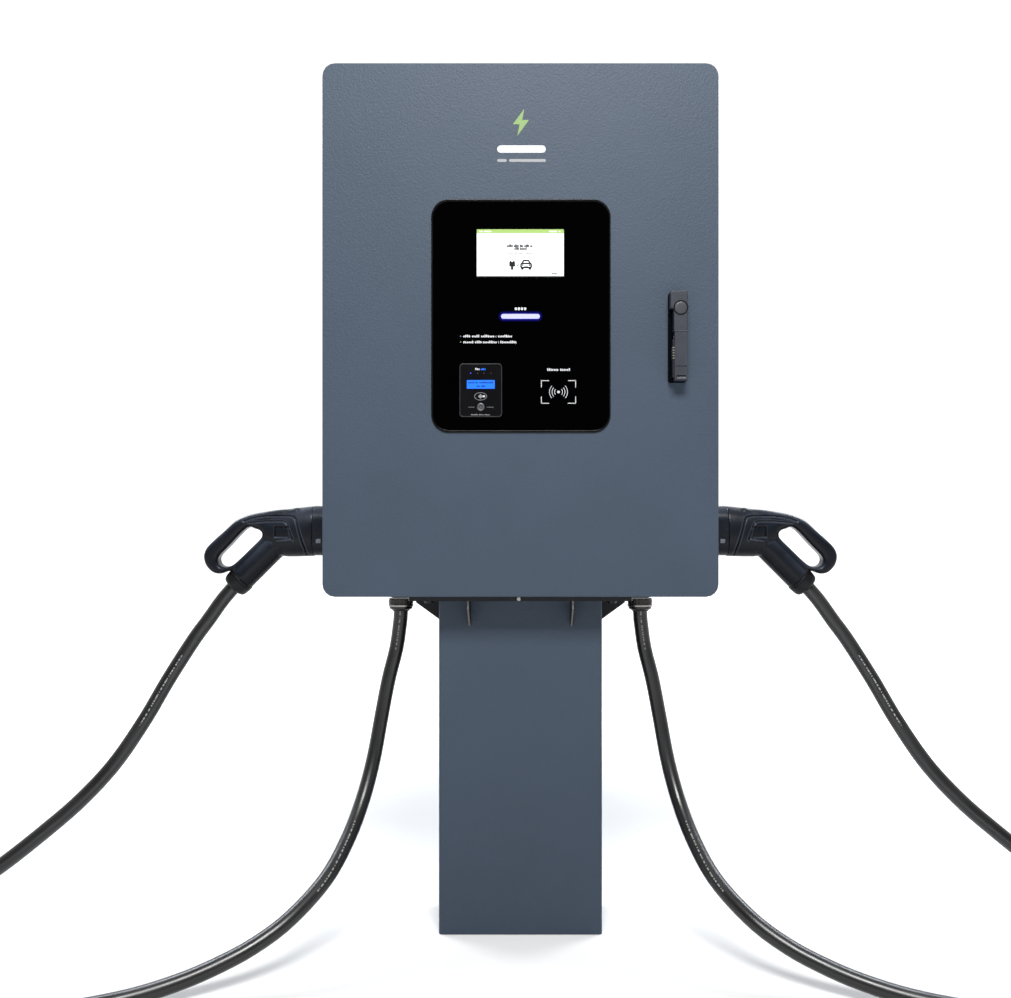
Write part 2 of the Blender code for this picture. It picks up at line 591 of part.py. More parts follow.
def smooth_route(points, spacing):
    """Points at an even spacing along a smooth curve through the route's own points."""
    places = [Vector(point) for point in points]
    ends = [2 * places[0] - places[1], *places, 2 * places[-1] - places[-2]]
    fine = []
    for before, start, end, after in zip(ends, ends[1:], ends[2:], ends[3:]):
        for step in range(20):
            t = step / 20
            fine.append(
                0.5 * (2 * start + (end - before) * t + (2 * before - 5 * start + 4 * end - after) * t * t
                       + (3 * start - before - 3 * end + after) * t * t * t)
            )
    fine.append(places[-1])
    run = [0.0]
    for start, end in zip(fine, fine[1:]):
        run.append(run[-1] + (end - start).length)
    count = round(run[-1] / spacing)
    even = []
    index = 0
    for step in range(count + 1):
        target = run[-1] * step / count
        while index < len(run) - 2 and run[index + 1] < target:
            index += 1
        share = (target - run[index]) / (run[index + 1] - run[index])
        even.append(fine[index].lerp(fine[index + 1], share))
    return even


def tube(name, points):
    curve = bpy.data.curves.new(name, "CURVE")
    curve.dimensions = "3D"
    curve.bevel_depth = CABLE_RADIUS
    curve.bevel_resolution = 2
    curve.use_fill_caps = True
    spline = curve.splines.new("POLY")
    spline.points.add(len(points) - 1)
    for point, place in zip(spline.points, points):
        point.co = (*place, 1)
    curve.materials.append(MATERIALS["rubber"])
    item = bpy.data.objects.new(name, curve)
    PARTS.objects.link(item)


def make_coil(side, sign):
    """The outer shape of the coiled cable: a turned ring with the section of its turns."""
    pitch = 2 * CABLE_RADIUS
    inner = COIL_MEAN_RADIUS - TURNS_ACROSS * CABLE_RADIUS
    outer = COIL_MEAN_RADIUS + TURNS_ACROSS * CABLE_RADIUS
    top = pitch * TURNS_HIGH + GAP
    bevel = 0.008
    section = [
        (outer - bevel, GAP), (inner + bevel, GAP), (inner, bevel), (inner, top - bevel), (inner + bevel, top),
        (outer - bevel, top), (outer, top - bevel), (outer, bevel),
    ]
    form = bmesh.new()
    corners = [form.verts.new((radius, 0, height)) for radius, height in section]
    for start, end in zip(corners, corners[1:] + corners[:1]):
        form.edges.new((start, end))
    mesh = bpy.data.meshes.new(f"cable_coil_{side}")
    form.to_mesh(mesh)
    form.free()
    place = Matrix.Translation((sign * COIL_CENTRE[0], COIL_CENTRE[1], 0))
    coil = finish_object(f"cable_coil_{side}", mesh, "rubber", place)
    screw = coil.modifiers.new("Screw", "SCREW")
    screw.steps = 24
    screw.render_steps = 24
    screw.use_merge_vertices = True
    screw.merge_threshold = 0.0001
    screw.use_normal_flip = False


def make_cable(side, sign):
    spacing = 4.5 * CABLE_RADIUS
    drop = smooth_route(DROP_ROUTE, spacing)
    drop.insert(1, drop[0] - Vector((0, 0, 0.008)))
    rise = smooth_route(RISE_ROUTE, spacing)
    axis = (gun_point(GRIP_END, 1) - gun_point(GRIP_SEAM, 1)).normalized()
    rise[-1:] = [rise[-1] + 0.008 * axis, rise[-1]]
    for name, points in (("cable_drop", drop), ("cable_rise", rise)):
        tube(f"{name}_{side}", [(sign * x, y, z) for x, y, z in points])
    make_coil(side, sign)


def main():
    make_base_plate()
    make_post()
    make_gussets()
    make_cabinet_shell()
    make_rear_cover()
    make_fans()
    make_electrics()
    on_door = make_door() + make_fascia() + make_hinges() + make_handle() + make_rods()
    on_door.append(bpy.data.objects["reader_button_axis"])
    joint("door_hinge_axis", (HINGE_X, HINGE_Y, CABINET_MIDDLE), *on_door)
    for side, sign in SIDES.items():
        make_holster(side, sign)
        make_gun(side, sign)
        make_gland(side, sign)
        make_cable(side, sign)


main()
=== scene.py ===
"""Looks for the dual-outlet EV charging post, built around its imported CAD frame. Metres, +Z up."""

import json
import math

import bmesh
import bpy
from mathutils import Matrix, Vector

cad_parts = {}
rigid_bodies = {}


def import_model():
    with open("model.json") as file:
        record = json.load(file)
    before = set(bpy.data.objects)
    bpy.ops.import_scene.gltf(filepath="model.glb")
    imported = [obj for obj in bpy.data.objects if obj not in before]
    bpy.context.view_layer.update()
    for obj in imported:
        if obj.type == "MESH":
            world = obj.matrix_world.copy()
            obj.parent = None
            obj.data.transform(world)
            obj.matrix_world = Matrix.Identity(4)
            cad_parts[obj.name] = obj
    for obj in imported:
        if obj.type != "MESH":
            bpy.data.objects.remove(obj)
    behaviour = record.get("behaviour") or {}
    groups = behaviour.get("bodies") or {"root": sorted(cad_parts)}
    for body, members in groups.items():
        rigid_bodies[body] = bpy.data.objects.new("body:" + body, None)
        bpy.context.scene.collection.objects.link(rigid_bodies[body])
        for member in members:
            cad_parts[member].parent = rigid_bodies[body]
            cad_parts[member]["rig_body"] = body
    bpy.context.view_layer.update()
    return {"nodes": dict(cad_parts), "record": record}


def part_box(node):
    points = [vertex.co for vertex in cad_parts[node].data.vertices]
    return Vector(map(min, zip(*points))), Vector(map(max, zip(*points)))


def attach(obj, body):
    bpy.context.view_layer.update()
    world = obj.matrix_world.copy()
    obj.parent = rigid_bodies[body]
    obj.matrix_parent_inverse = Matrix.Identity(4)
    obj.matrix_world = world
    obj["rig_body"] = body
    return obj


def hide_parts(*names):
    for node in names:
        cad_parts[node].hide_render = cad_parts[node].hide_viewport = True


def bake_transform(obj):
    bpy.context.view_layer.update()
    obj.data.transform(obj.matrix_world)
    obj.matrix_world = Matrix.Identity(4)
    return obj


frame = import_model()
SIDES = {"left": -1, "right": 1}

# Places read from the frame
DOOR_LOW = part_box("door_panel")[0]
GLASS_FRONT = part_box("front_glass")[0].y
SCREEN_LOW, SCREEN_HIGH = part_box("touchscreen")
READER_LOW, READER_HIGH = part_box("payment_reader")
BUTTON_LOW, BUTTON_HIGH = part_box("reader_button")
LIGHT_LOW, LIGHT_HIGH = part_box("light_bar")

CABLE_RADIUS = 0.0135
CABLE_SIDES = 20
FLOOR_COLOUR = (0.60, 0.60, 0.60)
WHITE = (1.0, 1.0, 1.0, 1.0)
COOL_LIGHT = (0.84, 0.91, 1.0)
BACKGROUND_LEVEL = 1.02
GLASS_COLOUR = (0.0002, 0.0002, 0.0003)
GLASS_GLOSS = 0.025


# Node helpers for materials


def feed(node, inputs):
    """Gives a node its inputs: another node's output is linked, and a plain value is set."""
    for socket, value in inputs.items():
        if isinstance(value, bpy.types.NodeSocket):
            node.id_data.links.new(value, node.inputs[socket])
        else:
            node.inputs[socket].default_value = value


def add_node(tree, kind, inputs, **settings):
    """A new shader node, with its settings made before its inputs."""
    node = tree.nodes.new("ShaderNode" + kind)
    for name, value in settings.items():
        setattr(node, name, value)
    feed(node, inputs)
    return node


def new_material(name, colour, roughness, metallic=0.0):
    """A Principled material, its node tree and its shader."""
    material = bpy.data.materials.new(name)
    material.use_nodes = True
    tree = material.node_tree
    shader = tree.nodes["Principled BSDF"]
    feed(shader, {"Base Color": (*colour, 1.0), "Roughness": roughness, "Metallic": metallic})
    return material, tree, shader


def calculate(tree, operation, *values, clamped=False):
    """The result of one step of arithmetic."""
    inputs = dict(enumerate(values))
    return add_node(tree, "Math", inputs, operation=operation, use_clamp=clamped).outputs["Value"]


def noise(tree, scale, detail=3.0, stretch=(1, 1, 1)):
    """Noise over the object's own coordinates: scale is in cycles per metre."""
    place = add_node(tree, "TexCoord", {}).outputs["Object"]
    mapped = add_node(tree, "Mapping", {"Vector": place, "Scale": stretch}).outputs["Vector"]
    return add_node(tree, "TexNoise", {"Vector": mapped, "Scale": scale, "Detail": detail}).outputs["Fac"]


def spread(tree, value, low, high):
    """Maps noise onto a range of values."""
    limits = {"Value": value, "From Min": 0.3, "From Max": 0.7, "To Min": low, "To Max": high}
    return add_node(tree, "MapRange", limits).outputs["Result"]


def ramp(tree, value, stops):
    """A colour that follows a value between two stops, each a position and a colour."""
    node = add_node(tree, "ValToRGB", {"Fac": value})
    for element, (position, colour) in zip(node.color_ramp.elements, stops):
        element.position = position
        element.color = (*colour, 1.0)
    return node.outputs["Color"]


def tint(tree, value, colour, dark, light):
    """A colour that drifts between a darker and a lighter shade of itself."""
    return ramp(tree, value, ((0.3, scaled(colour, dark)), (0.7, scaled(colour, light))))


def bump(tree, shader, heights):
    """Stacks bumps on a shader: pairs of a height and its depth in metres."""
    below = {}
    for height, depth in heights:
        node = add_node(tree, "Bump", {"Height": height, "Distance": depth, **below})
        below = {"Normal": node.outputs["Normal"]}
    feed(shader, below)


def scaled(colour, factor):
    return tuple(channel * factor for channel in colour)


# Materials


def powder_coat(name, colour):
    """Fine-textured powder coat: orange peel with small sharper grains."""
    material, tree, shader = new_material(name, colour, 0.5)
    grain = noise(tree, 900.0, 3.0)
    feed(shader, {
        "Base Color": tint(tree, noise(tree, 6.0, 2.0), colour, 0.965, 1.035),
        "Roughness": spread(tree, grain, 0.42, 0.56),
        "Specular IOR Level": 0.20,
    })
    bump(tree, shader, [(noise(tree, 330.0, 2.0), 0.00050), (grain, 0.00016)])
    return material


def fascia_glass():
    """Black glass with faint vertical smears."""
    material, tree, shader = new_material("fascia_glass", GLASS_COLOUR, 0.05)
    smears = noise(tree, 14.0, 4.0, (1, 1, 0.4))
    feed(shader, {"Roughness": spread(tree, smears, 0.03, 0.09), "Specular IOR Level": GLASS_GLOSS})
    return material


def moulded_plastic(name, colour, roughness, grain=650.0, depth=0.00006, specular=0.5):
    """Injection-moulded plastic with a fine spark-eroded grain."""
    material, tree, shader = new_material(name, colour, roughness)
    broad = noise(tree, 22.0, 3.0)
    feed(shader, {
        "Base Color": tint(tree, broad, colour, 0.88, 1.14),
        "Roughness": spread(tree, broad, roughness - 0.05, roughness + 0.06),
        "Specular IOR Level": specular,
    })
    bump(tree, shader, [(noise(tree, grain, 3.0), depth)])
    return material


def cable_rubber():
    """Extruded sheath with dust, and a line of pale dashes that comes and goes along its front."""
    colour = (0.0065, 0.0065, 0.0068)
    material, tree, shader = new_material("cable_rubber", colour, 0.4)
    dust = noise(tree, 9.0, 5.0)
    feed(shader, {
        "Base Color": tint(tree, dust, colour, 0.8, 1.45),
        "Roughness": spread(tree, dust, 0.27, 0.40),
        "Specular IOR Level": 0.50,
    })
    stored = add_node(tree, "Attribute", {}, attribute_name="print").outputs["Vector"]
    split = add_node(tree, "SeparateXYZ", {"Vector": stored})
    along = split.outputs["X"]
    group = calculate(tree, "LESS_THAN", calculate(tree, "PINGPONG", along, 0.24), 0.075)
    marks = add_node(tree, "TexNoise", {"W": along, "Scale": 210.0, "Detail": 1.0}, noise_dimensions="1D")
    dashes = calculate(tree, "GREATER_THAN", marks.outputs["Fac"], 0.49)
    off_front = calculate(tree, "ABSOLUTE", calculate(tree, "SUBTRACT", split.outputs["Y"], 1.0))
    line = calculate(tree, "LESS_THAN", off_front, 0.088)
    dashes = calculate(tree, "MULTIPLY", calculate(tree, "MULTIPLY", group, dashes), line)
    lay_over(material, dashes, (0.22, 0.22, 0.22))
    bump(tree, shader, [(noise(tree, 420.0, 3.0), 0.00006)])
    return material


def lay_over(material, amount, colour):
    """Lays a second colour over a material's own, as far as an amount from 0 to 1 says."""
    shader = material.node_tree.nodes["Principled BSDF"]
    under = shader.inputs["Base Color"].links[0].from_socket
    colours = {"Factor": amount, "A": under, "B": (*colour, 1.0)}
    mix = add_node(material.node_tree, "Mix", colours, data_type="RGBA")
    feed(shader, {"Base Color": mix.outputs["Result"]})


def paint_over(material, attribute, colour):
    """Lays a second colour over a material as far as a mesh's own attribute says, from 0 to 1."""
    stored = add_node(material.node_tree, "Attribute", {}, attribute_name=attribute)
    lay_over(material, stored.outputs["Fac"], colour)


def dust_and_sheen_over(material, colour, most):
    """Uneven dust and scuffing with painted sheen: a lighter colour in patches, heaviest on the faces that
    look up, where light from above falls.
    """
    tree = material.node_tree
    normal = add_node(tree, "NewGeometry", {}).outputs["Normal"]
    upward = add_node(tree, "SeparateXYZ", {"Vector": normal}).outputs["Z"]
    level = add_node(tree, "MapRange", {"Value": upward, "From Min": -0.04, "To Max": most})
    patches = spread(tree, noise(tree, 14.0, 5.0), 0.15, 1.25)
    amount = calculate(tree, "MULTIPLY", level.outputs["Result"], patches, clamped=True)
    lay_over(material, amount, colour)


def worn_metal(name, colour, roughness, stretch=(1, 1, 1), scale=180.0):
    """Plated or brushed metal with fine streaks and duller patches."""
    material, tree, shader = new_material(name, colour, roughness, 1.0)
    streak = noise(tree, scale, 4.0, stretch)
    feed(shader, {
        "Base Color": tint(tree, noise(tree, 16.0, 4.0), colour, 0.82, 1.08),
        "Roughness": spread(tree, streak, roughness - 0.08, roughness + 0.10),
    })
    bump(tree, shader, [(streak, 0.00002)])
    return material


def lit(name, colour, strength, roughness=0.35):
    """A printed or lit surface that gives its own light, with a trace of unevenness."""
    material, tree, shader = new_material(name, colour, roughness)
    feed(shader, {
        "Base Color": tint(tree, noise(tree, 30.0, 2.0), colour, 0.97, 1.0),
        "Emission Color": (*colour, 1.0),
        "Emission Strength": strength,
        "Specular IOR Level": 0.1,
    })
    return material


def ink(name, colour, roughness=0.4):
    """Screen-printed ink."""
    material, tree, shader = new_material(name, colour, roughness)
    drift = noise(tree, 260.0, 3.0)
    feed(shader, {
        "Base Color": tint(tree, drift, colour, 0.93, 1.0),
        "Roughness": spread(tree, drift, roughness - 0.05, roughness + 0.1),
    })
    return material


def place_on_light(tree, reach_x, reach_z):
    """Coordinates from the light bar's middle, in units of a reach across and a reach up."""
    middle = (LIGHT_LOW + LIGHT_HIGH) / 2
    mapping = add_node(tree, "Mapping", {
        "Vector": add_node(tree, "TexCoord", {}).outputs["Object"],
        "Location": (-middle.x / reach_x, 0, -middle.z / reach_z),
        "Scale": (1 / reach_x, 0, 1 / reach_z),
    })
    return mapping.outputs["Vector"]


def shine(tree, shader, place, stops):
    """Makes a shader give light that changes with the distance from the middle of place."""
    fade = add_node(tree, "TexGradient", {"Vector": place}, gradient_type="SPHERICAL").outputs["Fac"]
    feed(shader, {"Emission Color": ramp(tree, fade, stops), "Emission Strength": 1.0})


def light_guide():
    """A milky light guide: pale lavender, with blue along its upper and lower edges."""
    material, tree, shader = new_material("light_guide", (0.08, 0.08, 0.20), 0.3)
    half = (LIGHT_HIGH - LIGHT_LOW) / 2
    place = place_on_light(tree, 3 * half.x, half.z)
    shine(tree, shader, place, ((0.0, (0.10, 0.14, 0.85)), (0.20, (0.60, 0.60, 0.92))))
    return material


def glow_material():
    """Blue light that spills over the glass on all sides of the light guide and dies away."""
    material, tree, shader = new_material("light_glow", GLASS_COLOUR, 0.06)
    reach = 0.0094
    straight = (LIGHT_HIGH.x - LIGHT_LOW.x) / 2 - 0.0044
    split = add_node(tree, "SeparateXYZ", {"Vector": place_on_light(tree, reach, reach)})
    sideways = calculate(tree, "ABSOLUTE", split.outputs["X"])
    beyond = calculate(tree, "SUBTRACT", sideways, straight / reach, clamped=True)
    place = add_node(tree, "CombineXYZ", {"X": beyond, "Z": split.outputs["Z"]}).outputs["Vector"]
    shine(tree, shader, place, ((0.0, (0.0, 0.0, 0.0)), (0.55, (0.010, 0.010, 0.25))))
    feed(shader, {"Specular IOR Level": GLASS_GLOSS})
    return material


COAT = powder_coat("powder_coat", (0.0318, 0.0452, 0.0660))
# A darker copy of the coat for the post's top plate and gussets under the cabinet: painted shade.
SHADED_COAT = powder_coat("painted_shade_coat", (0.0060, 0.0072, 0.0092))
GLASS = fascia_glass()
BLACK = moulded_plastic("black_plastic", (0.009, 0.0095, 0.011), 0.42, 650.0, 0.00006, 0.35)
GUN = moulded_plastic("gun_plastic", (0.0015, 0.0022, 0.0044), 0.28, 520.0, 0.00005, 0.15)
# Lighter patches on the plug's upward faces: dust, and painted sheen.
dust_and_sheen_over(GUN, (0.036, 0.044, 0.060), 1.2)
# Lighter lines along the seams, the pocket and the ledge: edge wear, and painted highlights.
paint_over(GUN, "wear_and_highlight", (0.030, 0.035, 0.046))
NOSE = moulded_plastic("nose_plastic", (0.0038, 0.0050, 0.0080), 0.26, 520.0, 0.00006, 0.12)
# Lighter patches on the nose's upward faces: dust, and painted sheen.
dust_and_sheen_over(NOSE, (0.050, 0.060, 0.080), 1.4)
READER = moulded_plastic("reader_plastic", (0.0028, 0.0028, 0.0036), 0.22, 900.0, 0.00001, 0.08)
HANDLE = moulded_plastic("handle_metal", (0.0158, 0.0180, 0.0262), 0.46, 430.0, 0.00038, 0.3)
SEAL = moulded_plastic("seal_rubber", (0.016, 0.016, 0.016), 0.75, 300.0, 0.0002, 0.3)
COLLAR = moulded_plastic("collar_rubber", (0.0026, 0.0028, 0.0038), 0.44, 420.0, 0.00008, 0.18)
CABLE = cable_rubber()
ZINC = worn_metal("zinc_steel", (0.50, 0.51, 0.52), 0.36)
NICKEL = worn_metal("gland_metal", (0.30, 0.295, 0.28), 0.34)
ALUMINIUM = worn_metal("aluminium", (0.66, 0.67, 0.68), 0.34, (0.05, 1, 1))
BOARD = moulded_plastic("circuit_board", (0.012, 0.085, 0.032), 0.35, 300.0, 0.00004)
ORANGE = moulded_plastic("orange_plastic", (0.62, 0.12, 0.012), 0.4)
SCREEN = lit("screen_white", (0.45, 0.46, 0.46), 1.3)
SCREEN_INK = lit("screen_ink", (0.010, 0.011, 0.013), 0.0)
GREEN_LIGHT = lit("screen_green", (0.185, 0.275, 0.080), 0.62)
BLUE_LIGHT = lit("display_blue", (0.010, 0.085, 0.45), 1.1)
LED_BLUE = lit("led_blue", (0.05, 0.05, 0.80), 1.0)
WHITE_INK = ink("white_ink", (0.40, 0.41, 0.42))
GREEN_INK = ink("green_ink", (0.088, 0.175, 0.018))
GUIDE = light_guide()
GLOW = glow_material()
SCREEN_GREY = lit("screen_grey", (0.22, 0.23, 0.24), 0.15)
LCD_INK = lit("lcd_ink", (0.004, 0.02, 0.16), 0.2)
LAMP_OFF = ink("lamp_off", (0.020, 0.012, 0.016), 0.3)
PALE_INK = ink("pale_ink", (0.17, 0.175, 0.185))
BUTTON_INK = ink("button_ink", (0.008, 0.008, 0.010))
BUTTON = worn_metal("button_metal", (0.115, 0.117, 0.128), 0.40)
RIM = moulded_plastic("fascia_rim", (0.0012, 0.0012, 0.0014), 0.14, 700.0, 0.00001, 0.30)
READER_RIM = moulded_plastic("reader_rim", (0.011, 0.0115, 0.0140), 0.35, 700.0, 0.00002, 0.4)
# Near black, matt and without gloss, for the handle's base and a line on the lever: painted shade.
HANDLE_SHADE = moulded_plastic("handle_painted_shade", (0.0010, 0.0013, 0.0022), 0.80, 420.0, 0.00008, 0.02)
# A darker copy of the handle's finish for the lever's left flank: painted shade.
HANDLE_FLANK_SHADE = moulded_plastic("handle_flank", (0.0085, 0.0085, 0.0095), 0.5, 430.0, 0.00020, 0.2)
HANDLE_KNOB = moulded_plastic("handle_knob", (0.0215, 0.0235, 0.0290), 0.40, 420.0, 0.00012, 0.4)
# Pale brown-grey for the gussets' front edges and the handle's ribs: painted highlights.
EDGE_HIGHLIGHT = moulded_plastic("painted_edge_highlight", (0.115, 0.108, 0.097), 0.5, 500.0, 0.00015)
# Pale strips on the handle's top edge, step and slot lip: painted highlights.
HANDLE_HIGHLIGHT = moulded_plastic("handle_painted_highlight", (0.058, 0.061, 0.069), 0.40, 420.0, 0.00004)
DEEP = moulded_plastic("deep_shadow", (0.002, 0.002, 0.0025), 0.7, 420.0, 0.00004, 0.1)
LATCH = moulded_plastic("latch_grey", (0.070, 0.080, 0.100), 0.42, 420.0, 0.00004)
GLAND = worn_metal("gland_nickel", (0.034, 0.033, 0.031), 0.30)
BLACK_STEEL = worn_metal("black_steel", (0.030, 0.030, 0.033), 0.42)
BULLET_BLUE = ink("bullet_blue", (0.085, 0.130, 0.250))
BULLET_GREEN = ink("bullet_green", (0.100, 0.220, 0.110))
STRAP = moulded_plastic("hook_strap", (0.020, 0.021, 0.024), 0.85, 1400.0, 0.00030, 0.2)
DUCT = moulded_plastic("duct_grey", (0.23, 0.24, 0.25), 0.48)
TERMINAL = moulded_plastic("terminal_beige", (0.34, 0.33, 0.29), 0.45)
TERMINAL_BLUE = moulded_plastic("terminal_blue", (0.020, 0.095, 0.34), 0.45)
TERMINAL_GREEN = moulded_plastic("terminal_green", (0.030, 0.22, 0.075), 0.45)


# Mesh helpers


def shade(mesh, angle):
    mesh.shade_smooth()
    mesh.set_sharp_from_angle(angle=math.radians(angle))


def add_piece(name, mesh, material, body, angle=32, stands_for=None):
    """Adds a mesh to the scene as a piece that rides on a body, and may stand for a CAD node."""
    piece = bpy.data.objects.new(name, mesh)
    bpy.context.scene.collection.objects.link(piece)
    mesh.materials.clear()
    mesh.materials.append(material)
    shade(mesh, angle)
    piece.modifiers.new("weighted", "WEIGHTED_NORMAL").keep_sharp = True
    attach(piece, body)
    if stands_for:
        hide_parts(stands_for)
    return piece


def to_mesh(form):
    """Turns a bmesh into a mesh."""
    mesh = bpy.data.meshes.new("mesh")
    form.to_mesh(mesh)
    form.free()
    return mesh


def evaluated_mesh(thing):
    """The mesh of an object with its modifiers applied. The object itself is removed."""
    bpy.context.scene.collection.objects.link(thing)
    bpy.context.view_layer.update()
    graph = bpy.context.evaluated_depsgraph_get()
    mesh = bpy.data.meshes.new_from_object(thing.evaluated_get(graph))
    bpy.data.objects.remove(thing, do_unlink=True)
    return mesh


PLANES = {
    "XY": (Matrix.Identity(4), Vector((0, 0, 1))),
    "XZ": (Matrix.Rotation(math.pi / 2, 4, "X"), Vector((0, 1, 0))),
    "YZ": (Matrix(((0, 0, 1, 0), (1, 0, 0, 0), (0, 1, 0, 0), (0, 0, 0, 1))), Vector((1, 0, 0))),
}


def prism_mesh(outlines, plane, low, high, edge=0.0):
    """A prism over closed outlines, with its outer edges rounded to a radius of edge."""
    curve = bpy.data.curves.new("outline", "CURVE")
    curve.dimensions = "2D"
    curve.fill_mode = "BOTH"
    curve.extrude = (high - low) / 2 - edge
    curve.bevel_depth = edge
    curve.bevel_resolution = 2
    curve.offset = -edge
    for outline in outlines:
        line = curve.splines.new("POLY")
        line.points.add(len(outline) - 1)
        for point, (across, along) in zip(line.points, outline):
            point.co = (across, along, 0, 1)
        line.use_cyclic_u = True
    mesh = evaluated_mesh(bpy.data.objects.new("outline", curve))
    bpy.data.curves.remove(curve)
    turn, normal = PLANES[plane]
    mesh.transform(Matrix.Translation(normal * (low + high) / 2) @ turn)
    form = bmesh.new()
    form.from_mesh(mesh)
    bmesh.ops.remove_doubles(form, verts=form.verts, dist=1e-6)
    bmesh.ops.recalc_face_normals(form, faces=form.faces)
    return to_mesh(form)


def joined(meshes):
    """One mesh made of several."""
    form = bmesh.new()
    for mesh in meshes:
        form.from_mesh(mesh)
        bpy.data.meshes.remove(mesh)
    return to_mesh(form)


def loft(rings):
    """A solid through rings with as many points each, closed at both ends."""
    form = bmesh.new()
    rings = [[form.verts.new(point) for point in ring] for ring in rings]
    for first, second in zip(rings, rings[1:]):
        for step in range(len(first)):
            after = (step + 1) % len(first)
            form.faces.new((first[step], first[after], second[after], second[step]))
    form.faces.new(reversed(rings[0]))
    form.faces.new(rings[-1])
    bmesh.ops.recalc_face_normals(form, faces=form.faces)
    return to_mesh(form)


def turned_loft(outlines, start, direction):
    """A solid that stands at start: outlines are (distance along its axis, closed outline)."""
    turn = Vector(direction).to_track_quat("Z", "Y").to_matrix()
    return loft([
        [Vector(start) + turn @ Vector((x, y, height)) for x, y in outline] for height, outline in outlines
    ])


def lathe_mesh(profile, start, direction, steps=40):
    """A turned solid: profile is (distance along the axis, radius)."""
    outlines = [(height, circle((0, 0), radius, steps)) for height, radius in profile]
    return turned_loft(outlines, start, direction)


def directions(points):
    """Which way a line of points runs at each of them."""
    befores = [points[0], *points[:-1]]
    afters = [*points[1:], points[-1]]
    return [(after - before).normalized() for before, after in zip(befores, afters)]


def tube_mesh(points, radius, sides):
    """A round tube along points, carried without twist, with closed ends."""
    tangents = directions(points)
    side = tangents[0].orthogonal().normalized()
    rings = []
    for index, (point, tangent) in enumerate(zip(points, tangents)):
        if index:
            side = tangents[index - 1].rotation_difference(tangent) @ side
        other = tangent.cross(side)
        rings.append([point + across * side + up * other for across, up in circle((0, 0), radius, sides)])
    return loft(rings)


def fused(meshes, voxel, rounds):
    """Melts overlapping closed meshes into one soft-edged body."""
    body = bpy.data.objects.new("fused", joined(meshes))
    melt = body.modifiers.new("melt", "REMESH")
    melt.mode = "VOXEL"
    melt.voxel_size = voxel
    relax = body.modifiers.new("relax", "SMOOTH")
    relax.iterations = rounds
    relax.factor = 0.5
    return evaluated_mesh(body)


def on_side_mesh(mesh, sign):
    """Mirrors a mesh that was made for the right side, for the left one."""
    if sign < 0:
        mesh.transform(Matrix.Scale(-1, 4, Vector((1, 0, 0))))
        mesh.flip_normals()
    return mesh


# Outlines


def rounded(centre, width, height, radius, steps=8):
    """A rectangle with round corners."""
    points = []
    for corner, (right, up) in enumerate(((1, 1), (-1, 1), (-1, -1), (1, -1))):
        middle = (centre[0] + right * (width / 2 - radius), centre[1] + up * (height / 2 - radius))
        points += arc(middle, radius, 90 * corner, 90 * (corner + 1), steps)
    return points


def arc(centre, radius, start, end, steps=12):
    """Points along an arc: angles in degrees."""
    turns = [math.radians(start + (end - start) * step / steps) for step in range(steps + 1)]
    return [(centre[0] + radius * math.cos(t), centre[1] + radius * math.sin(t)) for t in turns]


def ellipse(centre, half_width, half_height, steps, turn=0.0):
    """A closed ellipse. Its first point is at an angle of turn, in radians."""
    turns = [2 * math.pi * step / steps + turn for step in range(steps)]
    return [(centre[0] + half_width * math.cos(t), centre[1] + half_height * math.sin(t)) for t in turns]


def circle(centre, radius, steps=32):
    return ellipse(centre, radius, radius, steps)


def hexagon(centre, radius, turn=0.0):
    return ellipse(centre, radius, radius, 6, turn)


def bar(left, right, low, high):
    """A short printed bar with round ends."""
    radius = min(high - low, right - left) * 0.49
    return rounded(((left + right) / 2, (low + high) / 2), right - left, high - low, radius, 3)


def band(points, width):
    """A closed outline of even width along an open line."""
    places = [Vector((*point, 0)) for point in points]
    left, right = [], []
    for place, along in zip(places, directions(places)):
        across = Vector((-along.y, along.x, 0)) * width / 2
        left.append((place + across)[:2])
        right.append((place - across)[:2])
    return left + right[::-1]


# Camera and stage


def make_camera():
    """Level with the plugs' axis, in front of the post, with the frame a little to its left."""
    data = bpy.data.cameras.new("camera")
    data.sensor_width = 36.0
    data.lens = 38.1
    data.shift_x = -0.0148
    data.shift_y = 0.001
    camera = bpy.data.objects.new("camera", data)
    camera.location = (0.0, -2.025, 0.792)
    camera.rotation_euler = (math.pi / 2, 0, 0)
    bpy.context.scene.collection.objects.link(camera)
    bpy.context.scene.camera = camera


def add_area(name, place, target, size, power, colour=(1, 1, 1)):
    data = bpy.data.lights.new(name, "AREA")
    data.shape = "RECTANGLE"
    data.size, data.size_y = size
    data.energy = power
    data.color = colour
    lamp = bpy.data.objects.new(name, data)
    lamp.location = place
    lamp.rotation_euler = (Vector(target) - Vector(place)).to_track_quat("-Z", "Y").to_euler()
    bpy.context.scene.collection.objects.link(lamp)


def floor_material():
    """Pale matte floor that lightens into the white surroundings away from the post."""
    material, tree, shader = new_material("floor", FLOOR_COLOUR, 0.8)
    place = add_node(tree, "TexCoord", {}).outputs["Object"]
    reach = add_node(tree, "VectorMath", {0: place}, operation="LENGTH").outputs["Value"]
    limits = {"Value": reach, "From Min": 0.7, "From Max": 2.2, "To Min": 0.10, "To Max": 1.0}
    fade = add_node(tree, "MapRange", limits, interpolation_type="SMOOTHSTEP")
    feed(shader, {
        "Emission Color": WHITE,
        "Emission Strength": fade.outputs["Result"],
        "Specular IOR Level": 0.1,
    })
    return material


